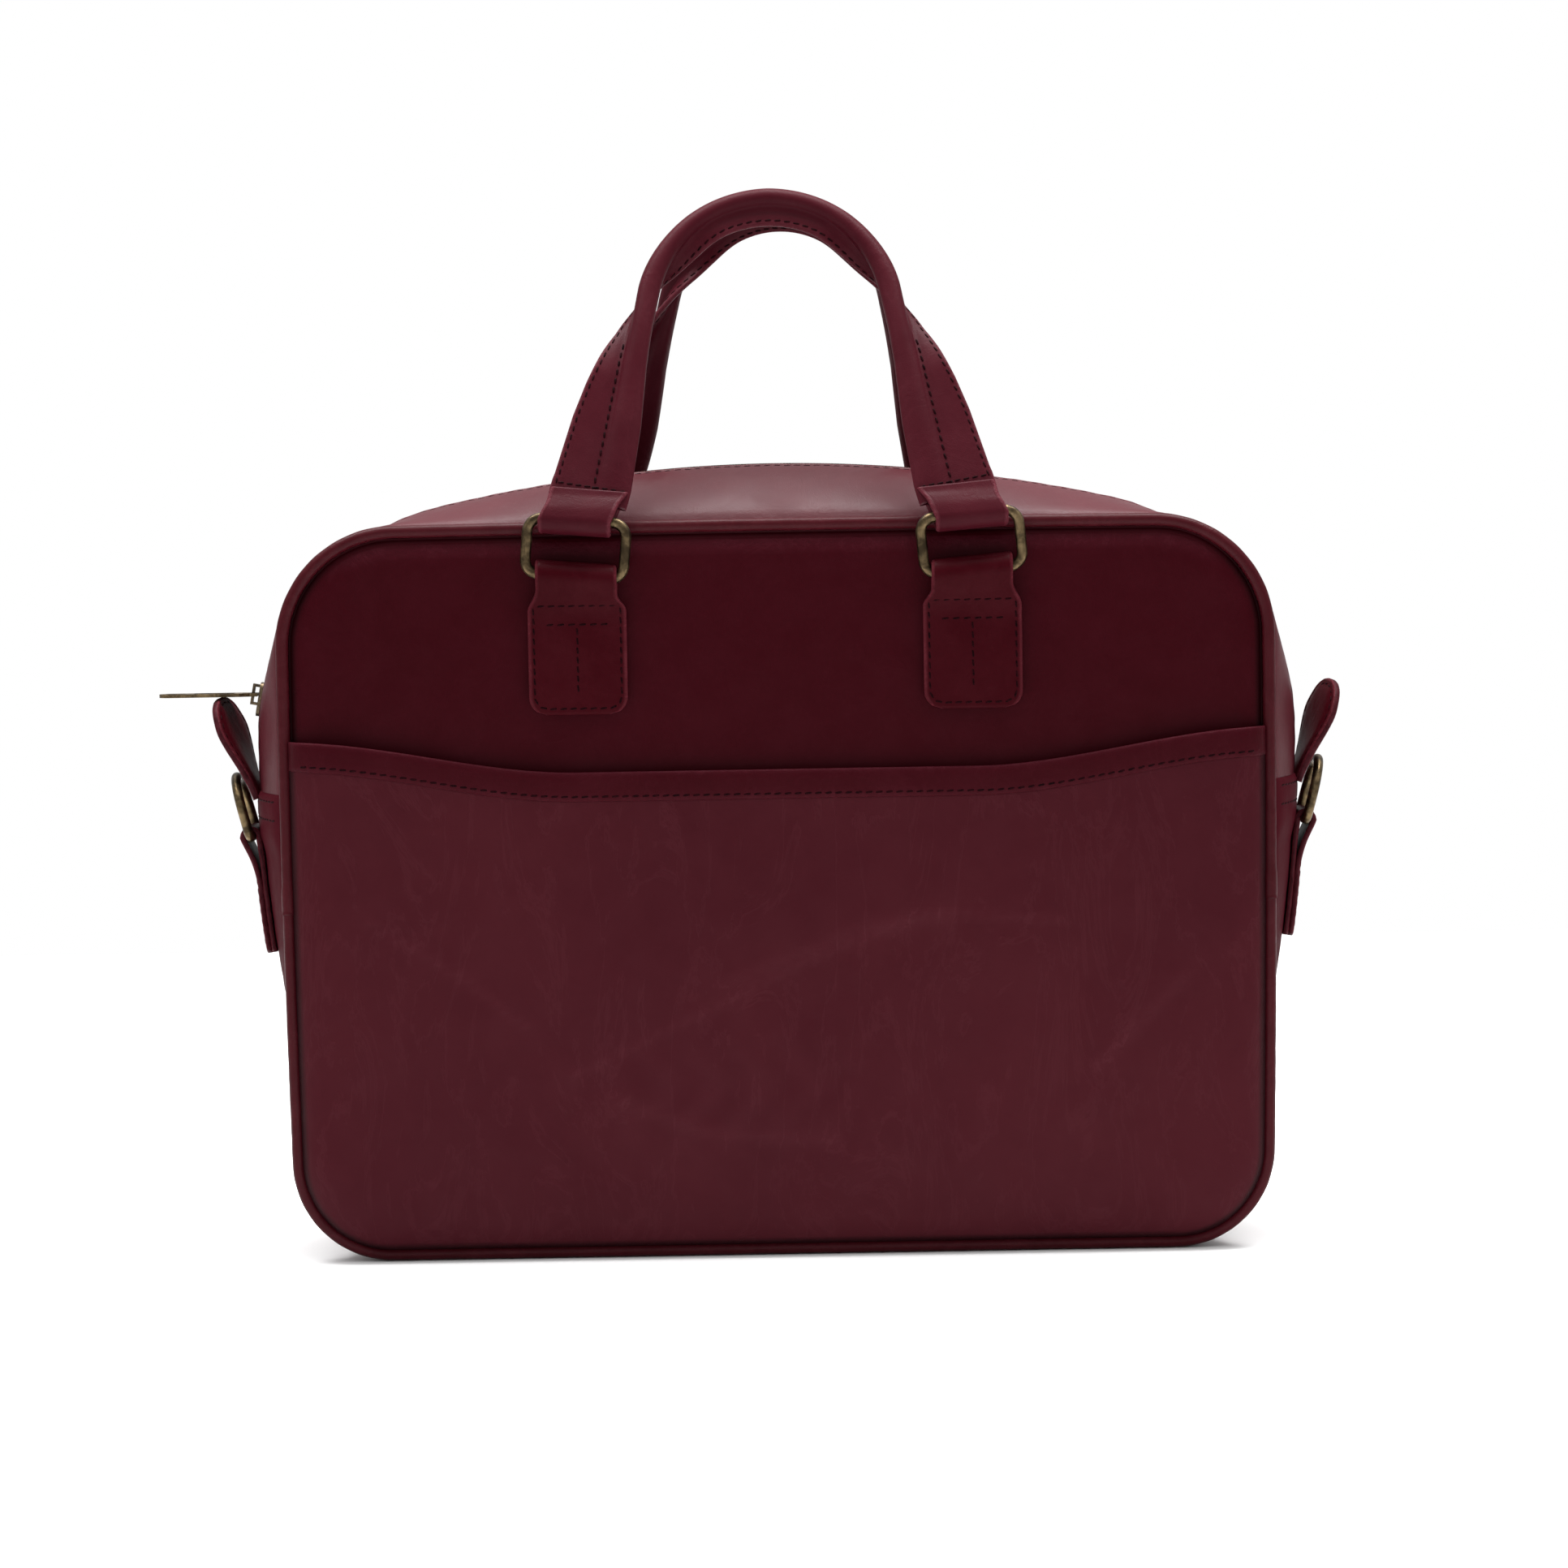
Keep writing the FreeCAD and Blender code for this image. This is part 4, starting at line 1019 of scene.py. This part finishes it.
def zip_tab():
    """Two layers of leather sewn together round their edge, standing off the side over the zip's end."""
    length, half, thick, inset = 37.0, 15.0, 3.2, 2.3
    bend = length - half
    rows = np.concatenate([np.linspace(-4, bend, 12), arc((0, bend), half, 0, 90, 14)[1:, 1]])
    widths = np.where(rows <= bend, half - smooth(-rows, -6, 4),
                      np.sqrt(np.maximum(half ** 2 - np.maximum(rows - bend, 0) ** 2, 0.3 ** 2)))
    across = edge_columns(21)[:, None] * widths
    up = np.broadcast_to(rows, across.shape)
    edge_gap = np.minimum(widths - np.abs(across), length - up)
    round_off = 0.75 * (1 - smooth(edge_gap, 0, 1.2))
    pillow = 0.35 * smooth(edge_gap, 2.6, 6.0) - 0.22 * np.exp(-((edge_gap - 2.3) / 0.6) ** 2)
    lift = thick / 2 - round_off + pillow

    def place(out, a, u):
        """Leans the tab off the side, and twists it more the further it stands out."""
        twist = TAB_TWIST * smooth(u, 0, 26)
        away = out * np.cos(twist) - a * np.sin(twist)
        aside = a * np.cos(twist) + out * np.sin(twist)
        x = TAB_BASE[0] + u * math.sin(TAB_LEAN) + away * math.cos(TAB_LEAN)
        z = TAB_BASE[1] + u * math.cos(TAB_LEAN) - away * math.sin(TAB_LEAN)
        return xyz(x, aside, z)

    build = Build()
    wear_and_light = 0.8 * (1 - smooth(edge_gap, 0.3, 1.6))
    closed_sheet(build, place(lift, across, up), place(-lift, across, up), wear_and_light, 1)
    ring = arc((0, bend), half - inset, 0, 180, 30)
    foot = half - inset - 0.4
    line = resample(np.concatenate([[(foot, 2.0)], ring, [(-foot, 2.0)]]), 160)
    for sign in (1, -1):
        normal = np.array([math.cos(TAB_LEAN), 0, -math.sin(TAB_LEAN)]) * sign
        stitch_row(build, place(sign * (thick / 2 - 0.15), line[:, 0], line[:, 1]), normal, 2)
    build.pair(0, "zip_tab_{}_leather", (TAB, EDGE, THREAD), "bag", "tab_leather", "zip_tab_{}")


# ---- CAD nodes that keep their shape ----
CAD_FINISHES = (
    (BRASS, "front_ring_left front_ring_right back_ring_left back_ring_right d_ring_left d_ring_right"),
    (BRASS, "zip_pull"), (ZIP_METAL, "zip_slider zipper_end_stops"),
    (LINING, "lining_front lining_back lining_gusset"),
    (FOAM, "front_foam back_foam"), (BOARD, "base_board"), (CORE, "piping_core_front piping_core_back"))


def cad_finishes():
    for material, names in CAD_FINISHES:
        for name in names.split():
            node = frame["nodes"][name]
            node.data.materials.clear()
            node.data.materials.append(material)


# ---- stage, light and camera ----
FLOOR_HALF = 1.25
FLOOR_GREY = (0.92, 0.92, 0.92)
WORLD_LIGHT = 0.60
# Name, place, aim, watts, then one or two sides of the lamp.
LAMPS = (("softbox", (0, 0, 2.6), (0, 0, 0), 62.0, 4.0),
         ("strip", (0, 0.05, 1.25), (0, 0, 0.25), 34.0, 1.6, 0.35),
         ("front", (0, -1.9, 0.12), (0, 0, 0.05), 1.4, 1.6, 0.2),
         ("left", (-1.6, -0.7, 1.0), (0, 0, 0.2), 1.6, 0.8),
         ("right", (1.6, -0.7, 1.0), (0, 0, 0.2), 1.6, 0.8))
CAMERA_TARGET = (0.0024, -0.043, 0.1782)
CAMERA_DISTANCE = 2.0
CAMERA_RISE, CAMERA_TURN, CAMERA_ROLL = math.radians(3.5), math.radians(-0.1), math.radians(-0.975)
CAMERA_LENS, CAMERA_SENSOR, CAMERA_FAR = 122.05, 36.0, 50.0


def stage():
    """A plain white floor, and a world that lights softly but looks white to the camera."""
    mesh = bpy.data.meshes.new("floor")
    corners = [(x * FLOOR_HALF, y * FLOOR_HALF, 0) for x, y in ((-1, -1), (1, -1), (1, 1), (-1, 1))]
    mesh.from_pydata(corners, [], [(0, 1, 2, 3)])
    floor = bpy.data.objects.new("floor", mesh)
    bpy.context.scene.collection.objects.link(floor)
    material = Nodes("floor").finish(Base_Color=FLOOR_GREY, Roughness=0.95, Specular_IOR_Level=0.0)
    mesh.materials.append(material)
    world = bpy.data.worlds.new("studio")
    world.use_nodes = True
    tree = world.node_tree
    background = tree.nodes["Background"]
    background.inputs["Color"].default_value = (1, 1, 1, 1)
    path = tree.nodes.new("ShaderNodeLightPath")
    strength = tree.nodes.new("ShaderNodeMapRange")
    strength.inputs["To Min"].default_value = WORLD_LIGHT
    strength.inputs["To Max"].default_value = 1.0
    tree.links.new(path.outputs["Is Camera Ray"], strength.inputs["Value"])
    tree.links.new(strength.outputs["Result"], background.inputs["Strength"])
    bpy.context.scene.world = world
    bpy.context.scene.view_settings.view_transform = "Standard"


def aimed(name, data, place, back, roll=0):
    """Puts a lamp or camera in the scene, looking away from back."""
    obj = bpy.data.objects.new(name, data)
    obj.location = place
    obj.rotation_mode = "QUATERNION"
    obj.rotation_quaternion = (-back).to_track_quat("-Z", "Y") @ Quaternion((0, 0, 1), roll)
    bpy.context.scene.collection.objects.link(obj)
    return obj


def lights():
    for name, place, aim, power, *sides in LAMPS:
        light = bpy.data.lights.new(name, "AREA")
        light.energy = power
        light.size = sides[0]
        if len(sides) > 1:
            light.shape = "RECTANGLE"
            light.size_y = sides[1]
        aimed(name, light, place, Vector(place) - Vector(aim))


def camera():
    data = bpy.data.cameras.new("camera")
    data.sensor_width = CAMERA_SENSOR
    data.lens = CAMERA_LENS
    data.clip_end = CAMERA_FAR
    level = math.cos(CAMERA_RISE)
    back = Vector((math.sin(CAMERA_TURN) * level, -math.cos(CAMERA_TURN) * level, math.sin(CAMERA_RISE)))
    place = Vector(CAMERA_TARGET) + back * CAMERA_DISTANCE
    bpy.context.scene.camera = aimed("camera", data, place, back, CAMERA_ROLL)


stage()
lights()
camera()
padded_panel("front")
padded_panel("back")
pocket_panel()
pocket_hem()
pipings()
top_gusset()
lower_gusset()
for end, direction in (("front", -1), ("back", 1)):
    zip_tape(end, direction)
    zip_teeth(end, direction)
for direction, hand in ((-1, "left"), (1, "right")):
    chape(direction, hand)
    handle_loop(direction, hand)
handles()
d_chape()
zip_tab()
cad_finishes()
